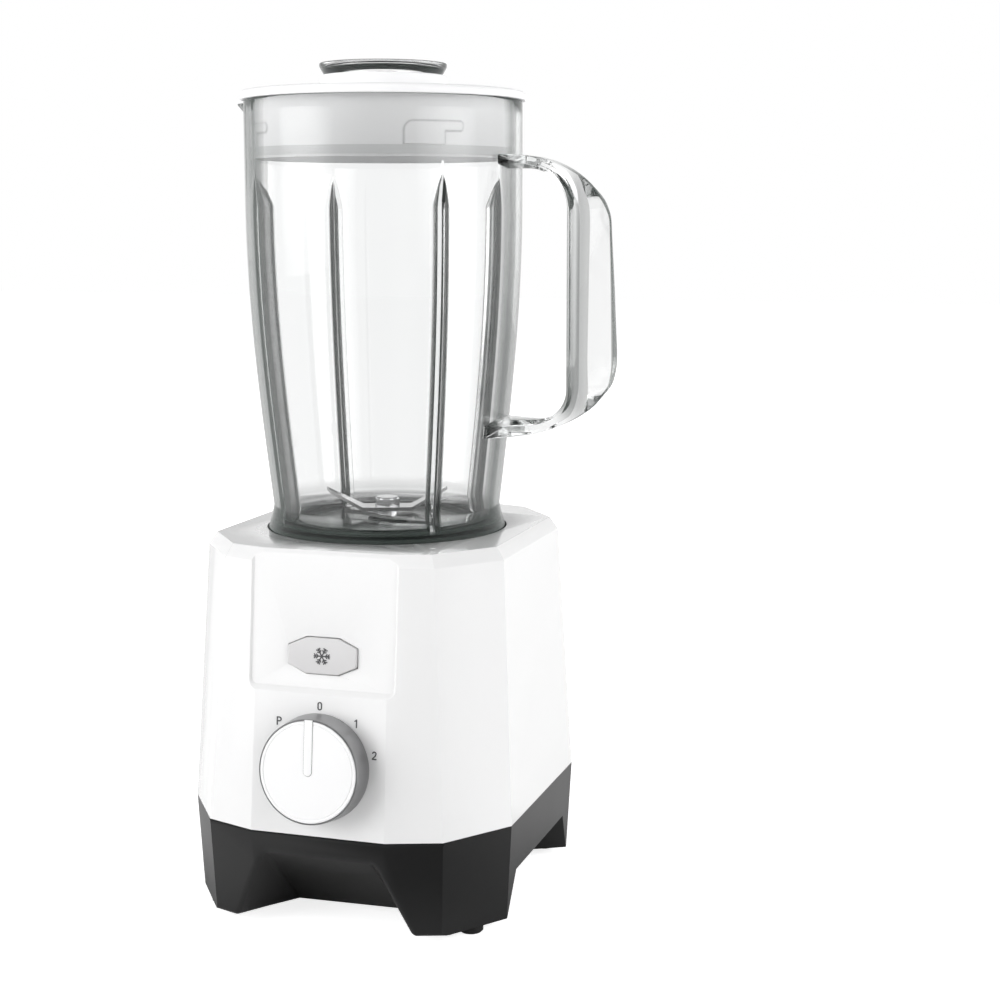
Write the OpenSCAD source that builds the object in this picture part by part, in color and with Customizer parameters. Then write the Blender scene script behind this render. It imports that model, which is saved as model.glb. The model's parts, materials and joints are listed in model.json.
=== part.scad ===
// Countertop blender: a faceted motor base, a clear jug with a blade unit, a lid and a filler cap.
// The origin is on the table under the jug's axis. +Z is up, the dial faces -Y, the handle is at +X.

/* [Base outline at the seam] */
// Width across the two side faces
base_w = 157.8; // [140:0.1:190]
// Depth across the front and back faces
base_d = 184; // [170:0.1:210]
// Width of the front face
front_face_w = 64.4; // [58:0.1:76]
// Length of a side face
side_face_w = 104; // [90:0.1:118]
// Distance in X between the corners where two facets meet
corner_w = 113.6; // [100:0.1:122]
// Distance in Y between the corners where two facets meet
corner_d = 166.6; // [150:0.1:168]

/* [Base heights and lean] */
// Height of the rubber feet under the skirt
foot_h = 4; // [2:0.1:8]
// Height of the black skirt
skirt_h = 44.7; // [42:0.1:60]
// Height of the white walls up to the bevel
wall_h = 121.5; // [116:0.1:150]
// Height of the bevel round the top
bevel_h = 5.7; // [3:0.1:9]
// How far the bevel steps in
bevel_in = 3.8; // [2:0.1:6]
// How far the front and back lean in over the walls' height
lean_front = 12; // [6:0.1:16]
// How far the sides lean in over the walls' height
lean_side = 5.9; // [2:0.1:9]
// How far the facet corners draw in, in X, over the walls' height
lean_corner_x = 6.7; // [3:0.1:9]
// How far the facet corners draw in, in Y, over the walls' height
lean_corner_y = 9.1; // [5:0.1:12]
// How far the ends of the front face draw in over the walls' height
lean_front_end = 1.2; // [0:0.1:3]
// How far the ends of the side faces draw in over the walls' height
lean_side_end = 7; // [3:0.1:10]
// How far the skirt's foot draws in from the seam
skirt_in = 2.5; // [1:0.1:5]
// Thickness of the housing and skirt walls
wall = 2.6; // [2:0.1:3.4]

/* [Skirt arches] */
// Height of the front and back arches above the skirt's underside
arch_front_h = 35.3; // [24:0.1:38]
// Width of the front arch along its top edge
arch_front_top_w = 53; // [40:0.5:64]
// Width of the front arch along its foot
arch_front_foot_w = 94; // [80:0.5:98]
// Height of the side arches above the skirt's underside
arch_side_h = 20; // [12:0.1:22]
// Length of a side arch along its top edge
arch_side_top_w = 80; // [60:0.5:84]
// Length of a side arch along its foot
arch_side_foot_w = 102; // [90:0.5:104]

/* [Feet and bottom plate] */
// Radius of a rubber foot
foot_r = 5.65; // [4:0.05:7]
// Depth of the pocket that holds a foot
foot_pocket = 1.5; // [1:0.1:2.2]
// Distance of the feet from the middle, in X
foot_x = 62; // [58:0.1:64]
// Distance of the feet from the middle, in Y
foot_y = 60; // [56:0.1:64]
// Side of the square bottom plate
plate_side = 94; // [80:0.5:98]
// Thickness of the bottom plate
plate_t = 2.4; // [1.8:0.1:2.6]
// Width of a vent slot
vent_w = 3; // [2:0.1:4]
// Length of a vent slot
vent_l = 34; // [20:0.5:38]
// Number of vent slots in a row
vent_count = 9; // [5:1:11]
// Radius of the shank of the base screws
screw_r = 2; // [1.5:0.05:2.4]
// Radius of the head of the base screws
screw_head_r = 3.8; // [3.2:0.1:4.2]
// Distance of the base screws from the middle, in X
post_x = 46; // [44:0.1:48]
// Distance of the base screws from the middle, in Y
post_y = 60; // [58:0.1:62]
// Radius of the posts that take the base screws
post_r = 4.6; // [4.2:0.1:5.2]

/* [Front panel] */
// Height of the dial's middle above the table
dial_z = 79.9; // [76:0.1:84]
// Radius of the dial at its front
dial_r = 23.5; // [18:0.1:24]
// Radius of the dial's sleeve where it meets the housing
dial_back_r = 24.4; // [21:0.1:25]
// How far the dial stands out from the front face
dial_proud = 12.4; // [8:0.1:15]
// Wall of the dial's metal sleeve
dial_ring_t = 1.4; // [1:0.1:2]
// Width of the raised pointer on the dial
marker_w = 3.7; // [2.5:0.1:5]
// Radius of the switch spindle
spindle_r = 3; // [2.5:0.1:3.5]
// Height of the characters round the dial
legend_h = 3.8; // [3:0.1:4.5]
// Radius at which the characters stand
legend_ring_r = 27.6; // [26.8:0.1:29]
// Angle from 0 to the pulse position, anticlockwise
pulse_angle = 45; // [35:1:55]
// Angle from 0 to speed 1, clockwise
speed_1_angle = 40; // [30:1:50]
// Angle from 0 to speed 2, clockwise
speed_2_angle = 74; // [65:1:90]
// Height of the lower edge of the front recess
recess_z = 112.7; // [110:0.1:116]
// Width of the front recess
recess_w = 73; // [66:0.5:74]
// Depth of the front recess
recess_depth = 2.2; // [1:0.1:2.6]
// Height of the ice button's middle above the table
button_z = 129.5; // [127:0.1:134]
// Width of the ice button
button_w = 33; // [26:0.1:38]
// Height of the ice button
button_h = 16.3; // [12:0.1:19]
// Length of the button's straight top edge
button_flat_w = 15.4; // [10:0.1:20]
// Height of the button's straight ends
button_end_h = 8.5; // [5:0.1:11]
// How far the button stands out of the recess
button_proud = 1.3; // [0.8:0.1:2]
// How far the button travels when it is pressed
button_travel = 2; // [1:0.1:2.5]
// Clearance round the button
button_gap = 0.35; // [0.2:0.05:0.5]

/* [Cord inlet] */
// Height of the cord gland above the table
gland_z = 66; // [60:0.1:90]
// Radius of the hole for the cord
cord_hole_r = 3.6; // [3:0.1:4.5]
// Radius of the gland's body in the housing wall
gland_r = 6; // [5.5:0.1:7]
// Length of the gland outside the housing
gland_out = 6; // [3:0.1:8]

/* [Motor] */
// Radius of the motor shaft
shaft_r = 4; // [3:0.1:4.5]
// Outer radius of the upper ball bearing
bearing_r = 11; // [9:0.1:12]
// Height of the upper ball bearing
bearing_h = 7; // [5:0.1:9]
// Outer radius of the lower sleeve bearing
sleeve_r = 7; // [6.2:0.1:8]
// Height of the lower sleeve bearing
sleeve_h = 9; // [7:0.1:12]
// Radius of the stator's round outside
stator_r = 36; // [34:0.1:38]
// Width of the stator across its flats
stator_flat = 60; // [56:0.5:64]
// Height of the stator's laminations
stator_h = 34; // [26:0.5:40]
// Radius of the armature's core
core_r = 20; // [17:0.1:20.5]
// Air gap between the armature and the stator
air_gap = 0.5; // [0.4:0.05:0.8]
// How far the windings stand out of the laminations
winding_h = 9; // [7:0.1:11]
// Radius of the commutator
commutator_r = 11.5; // [10:0.1:13]
// Length of the commutator
commutator_h = 15; // [12:0.1:18]
// Radius of the cooling fan
fan_r = 32; // [26:0.1:36]
// Height of the cooling fan
fan_h = 11; // [8:0.1:14]
// Number of fan blades
fan_blades = 9; // [7:1:12]
// Thickness of the motor brackets
bracket_t = 3; // [2:0.1:4]
// Distance of the motor screws from the axis, in X
mount_x = 25; // [24:0.1:26]
// Distance of the motor screws from the axis, in Y
mount_y = 22; // [21:0.1:23]
// Length of the bosses that hang under the seat
boss_h = 9; // [6:0.1:12]
// Thickness of the rubber dampers
damper_t = 2; // [1.5:0.1:3]

/* [Jug] */
// Outer radius of the jug at the rim
jug_r = 65; // [62:0.1:66]
// Outer radius of the jug at its waist
waist_r = 54.2; // [53.5:0.1:55.5]
// Outer radius of the jug's foot ring
jug_foot_r = 56.9; // [55.5:0.1:58]
// Thickness of the jug's wall
jug_wall = 2.8; // [2.2:0.1:3.2]
// Depth of the seat that the jug drops into
seat_depth = 16; // [15.5:0.1:19]
// Clearance between the foot ring and the seat
seat_gap = 0.7; // [0.4:0.05:1]
// Height of the waist above the base's top
waist_rise = 11; // [9:0.1:14]
// Height of the swelling part of the jug
swell_h = 143; // [120:0.5:160]
// Height of the straight part under the rim
collar_h = 46.1; // [40:0.1:52]
// Height of the jug's floor above the base's top
floor_rise = 1.1; // [0.6:0.1:2]
// Thickness of the jug's floor
floor_t = 4; // [3.6:0.1:4.4]
// How far the inner ribs stand in from the wall
rib_depth = 7.5; // [5:0.1:8]
// Thickness of the inner ribs
rib_t = 5.2; // [3:0.1:6.5]
// How far below the rim the ribs begin
rib_drop = 36; // [34:0.5:45]
// How far the pouring lip stands out
lip_out = 10.9; // [5:0.1:11]
// Half of the width of the pouring lip
lip_half_w = 12; // [9:0.1:14]
// Height of the pouring lip
lip_h = 16; // [10:0.1:20]

/* [Handle] */
// Distance from the jug's axis to the inside of the grip
grip_x = 90.2; // [88:0.1:94]
// Depth of the grip from its inside to its back
grip_depth = 22.2; // [20:0.1:24]
// Depth of the handle's arms
arm_t = 6; // [5:0.1:7]
// Half of the width of the grip
grip_half_w = 8; // [6.5:0.1:9]
// Half of the width of the handle where it meets the jug
root_half_w = 19; // [15:0.1:20]
// How far below the rim the upper arm lies
arm_drop = 25.5; // [23:0.1:28]
// Height of the handle from the top of one arm to the foot of the other
handle_h = 129; // [118:0.5:140]

/* [Blade unit] */
// Radius of the hole in the jug's floor
holder_r = 30; // [27:0.1:32]
// Radius of the blade holder's flange
holder_flange_r = 46; // [43:0.1:47]
// Thickness of the blade holder's flange
holder_flange_t = 3.5; // [3:0.1:4]
// Thickness of the seal between holder and jug
holder_seal_t = 1.5; // [1:0.1:2]
// Radius of the polished plate on the jug's floor
plate_r = 44; // [40:0.1:46]
// Thickness of the polished plate
blade_plate_t = 1; // [0.6:0.1:1.2]
// Height of the holder's nose above the plate
nose_h = 2.6; // [2.4:0.1:3]
// Radius of the blade shaft
blade_shaft_r = 4; // [3:0.1:4.5]
// Outer radius of the bush round the blade shaft
bush_r = 7; // [6.2:0.1:8]
// Distance from the axis to a blade's tip
blade_r = 29; // [24:0.1:32]
// Width of a blade at its root
blade_w = 14; // [10:0.1:15]
// Thickness of a blade
blade_t = 1.5; // [1:0.1:2]
// Angle at which the upper blade's wings rise
blade_rise_angle = 28; // [15:1:40]
// Angle at which the lower blade's wings drop
blade_drop_angle = 5; // [2:0.5:6]
// Radius over the lobes of the drive dog
dog_r = 9.5; // [8.5:0.1:10]
// Radius of the drive socket
socket_r = 15; // [13.5:0.1:15.5]

/* [Lid and cap] */
// Radius of the lid
lid_r = 66.4; // [66:0.1:69]
// Thickness of the lid's disc
lid_t = 4.2; // [3:0.1:6]
// Depth of the lid's plug inside the jug
plug_h = 27; // [20:0.1:29]
// Clearance between the plug and the jug
plug_gap = 0.8; // [0.5:0.05:1]
// Thickness of the plug's wall
plug_t = 2.4; // [1.8:0.1:3]
// Height of the lid's gasket
gasket_h = 4; // [3:0.1:5]
// Outer radius of the collar on the lid
collar_r = 29.4; // [27.5:0.1:31]
// Wall of the collar on the lid
collar_t = 3.1; // [2:0.1:3.2]
// Height of the collar above the lid
collar_rise = 7.3; // [5:0.1:10]
// Radius of the filler cap's flange
cap_r = 29.7; // [28:0.1:31]
// Height of the cap above the collar
cap_rise = 5.5; // [4:0.1:8]
// Depth of the cap below the collar's top
cap_depth = 24; // [18:0.5:26]
// Thickness of the cap's wall
cap_t = 2; // [1.4:0.1:2.4]

/* [Hidden] */
$fn = 64;
// Clearance of a shaft that turns in its bearing.
running_gap = 0.04;
// Clearance of pieces that move past each other with play.
play = 0.3;
// Clearance of a pin or plate that is set in by hand.
seat_play = 0.2;
// Overlap of cutting shapes past the faces that they cut.
over = 1;

// Heights that follow from the stack of parts.
seam_z = foot_h + skirt_h;
shoulder_z = seam_z + wall_h;
top_z = shoulder_z + bevel_h;
seat_z = top_z - seat_depth;
deck_z = seat_z - wall;
face_tilt = atan(lean_front / wall_h);
seat_r = jug_foot_r + seat_gap;

// The motor, from the bosses under the seat down to the fan.
bracket_top = deck_z - boss_h - damper_t;
bearing_z = bracket_top - bracket_t - bearing_h;
stator_top = bearing_z - winding_h - 4;
stator_z = stator_top - stator_h;
commutator_z = stator_z - winding_h - 1 - commutator_h;
lower_top = commutator_z - 4;
sleeve_z = lower_top - sleeve_h;
fan_z = sleeve_z - 3 - fan_h;
motor_leg_r = 4.5;
hub_wall = 2.5;
brush_w = 6;
brush_l = 15;
brush_z = commutator_z + commutator_h / 2;
motor_screw_r = 1.75;
motor_screw_head_r = 3.4;

// The drive between motor and jug.
socket_z = deck_z - 2.4;
socket_rise = 7;
socket_top = seat_z + socket_rise;
socket_hole_r = socket_r + 2;
dog_gap = 0.6;
dog_z = seat_z + 1;
lobes = 6;

// The jug.
floor_z = top_z + floor_rise;
floor_under = floor_z - floor_t;
waist_z = top_z + waist_rise;
swell_top = waist_z + swell_h;
rim_z = swell_top + collar_h;
foot_ring_t = 3.2;
key_w = 6;
key_in = 2.4;
key_h = 8;
rib_count = 4;

// The blade unit.
holder_top = floor_under - holder_seal_t;
holder_z = holder_top - holder_flange_t;
nose_z = floor_z + blade_plate_t + nose_h;
nose_r = bush_r + 2.4;
lower_blade_z = nose_z + 0.4;
spacer_h = 1.2;
upper_blade_z = lower_blade_z + blade_t + spacer_h;
nut_z = upper_blade_z + blade_t;
nut_h = 3.6;

// The lid and the cap.
lid_top = rim_z + lid_t;
plug_r = jug_r - jug_wall - plug_gap;
plug_z = rim_z - plug_h;
gasket_z = plug_z + 1;
gasket_in = 1.2;
collar_top = lid_top + collar_rise;
collar_bore_r = collar_r - collar_t;
cap_top = collar_top + cap_rise;
cap_wall_r = collar_bore_r - play;
cap_z = collar_top - cap_depth;

// The front panel.
panel_floor = -recess_depth;
panel_back = panel_floor - wall;
button_back = panel_back - 0.1;
button_flange_t = 1.2;
switch_board_w = 52;
switch_board_h = 16;
switch_board_t = 1.6;
ice_switch_w = 13;
ice_switch_d = 8;
ice_switch_t = 3;
board_back = button_back - button_flange_t - button_travel - 5.4;
board_post_x = 21.5;
plunger_r = 1.8;
switch_w = 26;
switch_d = 15;
bushing_r = 5;

// Posts, screws and the seam between housing and skirt.
post_z = seam_z + 6;
screw_sink = 10;
screw_bite = 22;
seam_lip_h = 3;
seam_lip_t = 1.6;
lip_root = 4;
boss_r = 4.5;
ledge_t = 3;
ledge_w = 4;
plate_screw_r = 1.5;
plate_screw_head_r = 2.8;
plate_head_h = 1.4;
plate_boss_r = 4;
plate_boss_h = 8;
plate_screw_x = plate_side / 2 - 6;
vent_margin = 13;
gland_in = 3;
socket_collar_h = 4;

// Motor details.
leg_x = 13;
leg_y = stator_flat / 2 - 4;
coil_in_r = core_r + air_gap + 1.5;
coil_out_r = coil_in_r + 8;
coil_half_angle = 46;
pole_half_angle = 33;
holder_wall = 1;
brush_gap = 0.3;
core_slots = 12;
slot_depth = 6;
slot_w = 2.4;
fan_hub_r = shaft_r + 4;

// Panel details.
board_front = board_back + switch_board_t;
board_post_r = 3.4;
stake_r = 1.5;
stake_h = 1;
dial_gap = 0.8;
marker_t = 0.7;
print_t = 0.15;
stroke = 0.55;

// Jug, handle and blade details.
floor_fillet = 4.5;
rib_top_z = rim_z - rib_drop;
root_x = jug_r - 7;
upper_finger_r = 18;
lower_finger_r = 14;
arm_top_z = rim_z - arm_drop;
arm_foot_z = arm_top_z - handle_h;
foot_arm_t = arm_t + 2;
upper_back_r = 50;
upper_bend_x = jug_r + 2;
upper_end_x = grip_x + 10;
lower_back_r = 64;
lower_bend_x = jug_r - 3;
lower_end_x = grip_x + 12.6;
facet_half = 3;
spine_top_z = arm_top_z - handle_h * 0.217;
spine_foot_z = arm_foot_z + handle_h * 0.267;
spine_half = 4.7;
edge_half = 1;
shaft_seal_h = 2;
bend_r = 12;
lower_blade_turn = -27;
upper_blade_turn = 21;
nut_r = 6.4;

// Lid details.
lug_t = 0.5;
bore_drop = 8;

// ---- Shared shapes ----

// Twelve corners of the base, from its front right corner and anticlockwise.
function outline(x1, y1, x2, y2, x3, y3) = [[x1, -y1], [x2, -y2], [x3, -y3], [x3, y3],
    [x2, y2], [x1, y1], [-x1, y1], [-x2, y2], [-x3, y3], [-x3, -y3], [-x2, -y2], [-x1, -y1]];

// The walls' outline at a height, t being 0 at the seam and 1 at the bevel.
function wall_outline(t) = outline(front_face_w / 2 - lean_front_end * t,
    base_d / 2 - lean_front * t, corner_w / 2 - lean_corner_x * t,
    corner_d / 2 - lean_corner_y * t, base_w / 2 - lean_side * t,
    side_face_w / 2 - lean_side_end * t);

function outline_at(z) = wall_outline((z - seam_z) / wall_h);

function unit(v) = v / norm(v);

// Left-hand normal of the edge from a to b, which points into an anticlockwise outline.
function inward(a, b) = [-unit(b - a)[1], unit(b - a)[0]];

// An outline moved inwards by d along every edge.
function inset(p, d) = [for (i = [0 : len(p) - 1])
    let (n1 = inward(p[(i + len(p) - 1) % len(p)], p[i]), n2 = inward(p[i], p[(i + 1) % len(p)]))
    p[i] + (n1 + n2) * d / (1 + n1 * n2)];

// Puts a flat outline at a height.
function raise(p, z) = [for (q = p) [q[0], q[1], z]];

// A closed solid through rings of points that have the same count each.
module loft(rings) {
    n = len(rings[0]);
    last = len(rings) - 1;
    polyhedron(
        points = [for (r = rings) each r],
        faces = concat([[for (i = [0 : n - 1]) i]],
            [for (k = [0 : last - 1], i = [0 : n - 1])
                [k * n + i, (k + 1) * n + i, (k + 1) * n + (i + 1) % n]],
            [for (k = [0 : last - 1], i = [0 : n - 1])
                [k * n + i, (k + 1) * n + (i + 1) % n, k * n + (i + 1) % n]],
            [[for (i = [n - 1 : -1 : 0]) last * n + i]]));
}

// Depth of the front face from the axis at a height.
function front_y(z) = base_d / 2 - lean_front * (z - seam_z) / wall_h;

// Places children on the leaning front face: X to the right, Y up the face, Z outwards.
module on_front(z) {
    translate([0, -front_y(z), z]) rotate([90 - face_tilt, 0, 0]) children();
}

// The same on the back face, seen from behind.
module on_back(z) {
    rotate([0, 0, 180]) on_front(z) children();
}

module four_corners(x, y) {
    for (sx = [-1, 1], sy = [-1, 1]) translate([sx * x, sy * y, 0]) children();
}

module tube(outer, inner, h) {
    difference() {
        cylinder(r = outer, h = h);
        translate([0, 0, -over]) cylinder(r = inner, h = h + 2 * over);
    }
}

// An eight-sided plate outline with straight edges on its four sides.
module octagon(w, h, flat_w, end_h) {
    polygon([[flat_w / 2, -h / 2], [w / 2, -end_h / 2], [w / 2, end_h / 2], [flat_w / 2, h / 2],
        [-flat_w / 2, h / 2], [-w / 2, end_h / 2], [-w / 2, -end_h / 2], [-flat_w / 2, -h / 2]]);
}

module round_rect(w, h, r) {
    square([w - 2 * r, h], center = true);
    square([w, h - 2 * r], center = true);
    for (sx = [-1, 1], sy = [-1, 1]) translate([sx * (w / 2 - r), sy * (h / 2 - r)]) circle(r = r);
}

// A notch under the skirt. Its roof slopes down and inwards at 45 degrees from the top edge,
// and the side walls meet the roof along straight edges.
module arch(face, height, half_top, half_foot, grow) {
    slant = (half_foot - half_top) / height;
    h = height + grow * sqrt(2);
    foot = half_foot + grow * sqrt(1 + 2 * slant * slant);
    roof = foot - slant * h;
    function slice(d) = [[-roof, d - face, h - d], [roof, d - face, h - d],
        [foot - slant * (d - over), d - face, -over], [-foot + slant * (d - over), d - face, -over]];
    translate([0, 0, foot_h]) loft([slice(-over), slice(h + over - 0.01)]);
}

// All four arches, or the covers over them where grow is a wall.
module arches(grow) {
    front_face = base_d / 2 - skirt_in * (1 - arch_front_h / skirt_h);
    side_face = base_w / 2 - skirt_in * (1 - arch_side_h / skirt_h);
    for (turn = [0, 180]) rotate([0, 0, turn])
        arch(front_face, arch_front_h, arch_front_top_w / 2, arch_front_foot_w / 2, grow);
    for (turn = [90, 270]) rotate([0, 0, turn])
        arch(side_face, arch_side_h, arch_side_top_w / 2, arch_side_foot_w / 2, grow);
}

// ---- Housing ----

// Space inside the walls, before what stands in it.
module housing_room() {
    loft([raise(inset(outline_at(seam_z - over), wall), seam_z - over),
        raise(inset(outline_at(shoulder_z), wall), shoulder_z),
        raise(inset(outline_at(shoulder_z), wall + bevel_in), top_z - wall)]);
}

// The round seat's outside, screw posts, motor bosses, the panel's backing and the board posts.
module housing_inner_solids() {
    translate([0, 0, deck_z]) cylinder(r = seat_r + wall, h = seat_depth + wall);
    four_corners(post_x, post_y)
        translate([0, 0, post_z]) cylinder(r = post_r, h = top_z - post_z);
    four_corners(mount_x, mount_y)
        translate([0, 0, deck_z - boss_h]) cylinder(r = boss_r, h = boss_h + over);
    on_front(recess_z) translate([-recess_w / 2 - wall, -wall, panel_back])
        cube([recess_w + 2 * wall, top_z - recess_z, wall + recess_depth]);
    on_front(button_z) for (side = [-1, 1]) translate([side * board_post_x, 0, 0]) {
        translate([0, 0, board_front]) cylinder(r = board_post_r, h = panel_back - board_front + 0.5);
        translate([0, 0, board_back - stake_h])
            cylinder(r = stake_r, h = board_front - board_back + stake_h + 0.5);
    }
}

module front_recess(reach) {
    on_front(recess_z) hull() {
        translate([0, reach / 2, panel_floor]) linear_extrude(0.01)
            round_rect(recess_w - 2 * recess_depth, reach - 2 * recess_depth, 3, $fn = 32);
        translate([0, reach / 2, over]) linear_extrude(0.01)
            round_rect(recess_w + 2 * over, reach + 2 * over, 3, $fn = 32);
    }
}

module seat_well() {
    difference() {
        translate([0, 0, seat_z]) cylinder(r = seat_r, h = seat_depth + over);
        for (i = [0 : 3]) rotate([0, 0, 90 * i])
            translate([seat_r - key_in, -key_w / 2, seat_z - over])
                cube([key_in + over, key_w, key_h + over]);
        translate([0, 0, seat_z - over]) tube(socket_hole_r + 2.2, socket_hole_r, socket_collar_h + over);
    }
    translate([0, 0, deck_z - over]) cylinder(r = socket_hole_r, h = wall + 2 * over);
}

module housing() {
    color("white") difference() {
        loft([raise(outline_at(seam_z), seam_z), raise(outline_at(shoulder_z), shoulder_z),
            raise(inset(outline_at(shoulder_z), bevel_in), top_z)]);
        difference() {
            housing_room();
            housing_inner_solids();
        }
        seat_well();
        front_recess(2 * (top_z - recess_z));
        on_front(button_z) translate([0, 0, panel_back - over])
            linear_extrude(wall + 2 * over) octagon(button_w + 2 * button_gap,
                button_h + 2 * button_gap, button_flat_w + button_gap, button_end_h + button_gap);
        on_front(dial_z) translate([0, 0, -wall - over])
            cylinder(r = bushing_r + 0.1, h = wall + 2 * over);
        on_back(gland_z) translate([0, 0, -wall - over]) cylinder(r = gland_r, h = wall + 2 * over);
        four_corners(post_x, post_y)
            translate([0, 0, post_z - over]) cylinder(r = screw_r, h = screw_bite + over);
        four_corners(mount_x, mount_y)
            translate([0, 0, deck_z - boss_h - over]) cylinder(r = motor_screw_r, h = boss_h);
    }
}

// ---- Skirt, feet and bottom plate ----

module skirt_lip() {
    seam = outline_at(seam_z);
    difference() {
        union() {
            loft([for (z = [seam_z - lip_root, seam_z + seam_lip_h])
                raise(inset(outline_at(z), wall + seat_play), z)]);
            loft([for (z = [seam_z - lip_root, seam_z]) raise(inset(seam, wall - 0.4), z)]);
        }
        loft([for (z = [seam_z - lip_root - over, seam_z + seam_lip_h + over])
            raise(inset(outline_at(z), wall + seat_play + seam_lip_t), z)]);
    }
}

module skirt_room() {
    seam = outline_at(seam_z);
    difference() {
        loft([raise(inset(seam, skirt_in + wall), foot_h + wall), raise(inset(seam, wall), seam_z + over)]);
        arches(wall);
        four_corners(post_x, post_y) translate([0, 0, foot_h])
            cylinder(r = screw_head_r + wall, h = screw_sink + wall);
        four_corners(foot_x, foot_y) translate([0, 0, foot_h])
            cylinder(r = foot_r + wall, h = foot_pocket + wall);
        translate([0, 0, foot_h + plate_t]) difference() {
            linear_extrude(ledge_t) square(plate_side + 2 * ledge_t, center = true);
            translate([0, 0, -over]) linear_extrude(ledge_t + 2 * over)
                square(plate_side - 2 * ledge_w, center = true);
        }
        four_corners(plate_screw_x, plate_screw_x) translate([0, 0, foot_h + plate_t])
            cylinder(r = plate_boss_r, h = plate_boss_h);
    }
}

module skirt() {
    color("dimgray") difference() {
        union() {
            difference() {
                loft([raise(inset(outline_at(seam_z), skirt_in), foot_h),
                    raise(outline_at(seam_z), seam_z)]);
                skirt_room();
            }
            skirt_lip();
            four_corners(post_x, post_y)
                translate([0, 0, foot_h + wall]) cylinder(r = post_r, h = post_z - foot_h - wall);
        }
        arches(0);
        translate([0, 0, foot_h - over]) linear_extrude(plate_t + over)
            square(plate_side + 2 * seat_play, center = true);
        translate([0, 0, foot_h]) linear_extrude(wall + over)
            square(plate_side - 2 * ledge_w, center = true);
        four_corners(foot_x, foot_y) translate([0, 0, foot_h - over])
            cylinder(r = foot_r + 0.1, h = foot_pocket + over);
        four_corners(post_x, post_y) {
            translate([0, 0, foot_h - over]) cylinder(r = screw_head_r + play, h = screw_sink + over);
            translate([0, 0, foot_h]) cylinder(r = screw_r + seat_play, h = post_z);
        }
        four_corners(plate_screw_x, plate_screw_x)
            translate([0, 0, foot_h]) cylinder(r = plate_screw_r, h = plate_t + plate_boss_h - 1);
    }
}

module vent_slot() {
    square([vent_w, vent_l - vent_w], center = true);
    for (end = [-1, 1]) translate([0, end * (vent_l - vent_w) / 2]) circle(r = vent_w / 2);
}

module bottom_plate() {
    pitch = (plate_side - 2 * vent_margin) / (vent_count - 1);
    color("dimgray") translate([0, 0, foot_h]) difference() {
        linear_extrude(plate_t) difference() {
            square(plate_side, center = true);
            for (row = [-1, 1], i = [0 : vent_count - 1])
                translate([(i - (vent_count - 1) / 2) * pitch, row * plate_side / 4.6]) vent_slot();
        }
        four_corners(plate_screw_x, plate_screw_x) {
            translate([0, 0, -over]) cylinder(r = plate_screw_r + 0.1, h = plate_t + 2 * over);
            translate([0, 0, -over]) cylinder(r = plate_screw_head_r + 0.1, h = over + plate_head_h);
        }
    }
}

module rubber_feet() {
    color("black") four_corners(foot_x, foot_y) rotate_extrude()
        polygon([[0, 0], [foot_r - 0.8, 0], [foot_r, 0.8], [foot_r, foot_h + foot_pocket],
            [0, foot_h + foot_pocket]]);
}

// A pan-head screw with its head down, the head's seat at z = 0.
module screw(shank, head, head_h, length) {
    difference() {
        union() {
            cylinder(r = shank, h = length);
            translate([0, 0, -head_h]) cylinder(r = head, h = head_h);
        }
        for (turn = [0, 90]) rotate([0, 0, turn])
            translate([-head * 0.55, -0.4, -head_h - over]) cube([head * 1.1, 0.8, over + head_h * 0.6]);
    }
}

module base_screws() {
    color("silver") four_corners(post_x, post_y) translate([0, 0, foot_h + screw_sink])
        screw(screw_r, screw_head_r, 3, post_z - foot_h - screw_sink + screw_bite - 1);
}

module plate_screws() {
    color("silver") four_corners(plate_screw_x, plate_screw_x) translate([0, 0, foot_h + plate_head_h])
        screw(plate_screw_r, plate_screw_head_r, plate_head_h - 0.1, plate_t + plate_boss_h - plate_head_h - 2);
}

// ---- Cord gland ----

module cord_gland() {
    color("black") on_back(gland_z) difference() {
        rotate_extrude() polygon([[0, -wall - gland_in], [gland_r + 1.2, -wall - gland_in],
            [gland_r + 1.2, -wall], [gland_r, -wall], [gland_r, 0], [gland_r + 2, 0],
            [gland_r + 2, gland_out / 3], [gland_r - 0.6, gland_out / 3], [gland_r - 1.6, gland_out],
            [0, gland_out]]);
        translate([0, 0, -wall - gland_in - over])
            cylinder(r = cord_hole_r, h = wall + gland_in + gland_out + 2 * over);
    }
}

// ---- Motor ----

module sector(outer, inner, half_angle, h) {
    reach = outer + over;
    intersection() {
        tube(outer, inner, h);
        linear_extrude(h) polygon([[0, 0], [reach, -reach * tan(half_angle)],
            [reach, reach * tan(half_angle)]]);
    }
}

module bracket_sheet() {
    linear_extrude(bracket_t) round_rect(2 * (mount_x + 6.5), 2 * (mount_y + 8.5), 6);
}

module upper_bracket() {
    color("silver") difference() {
        union() {
            translate([0, 0, bracket_top - bracket_t]) bracket_sheet();
            translate([0, 0, bearing_z])
                cylinder(r = bearing_r + hub_wall, h = bracket_top - bearing_z);
            four_corners(leg_x, leg_y) translate([0, 0, stator_top])
                cylinder(r = motor_leg_r, h = bracket_top - bracket_t - stator_top + 0.5);
        }
        translate([0, 0, bearing_z - over]) cylinder(r = bearing_r, h = bearing_h + over);
        translate([0, 0, bearing_z]) cylinder(r = shaft_r + 2, h = bearing_h + bracket_t + over);
        four_corners(mount_x, mount_y) translate([0, 0, bracket_top - bracket_t - over])
            cylinder(r = motor_screw_r + seat_play, h = bracket_t + 2 * over);
    }
}

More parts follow.
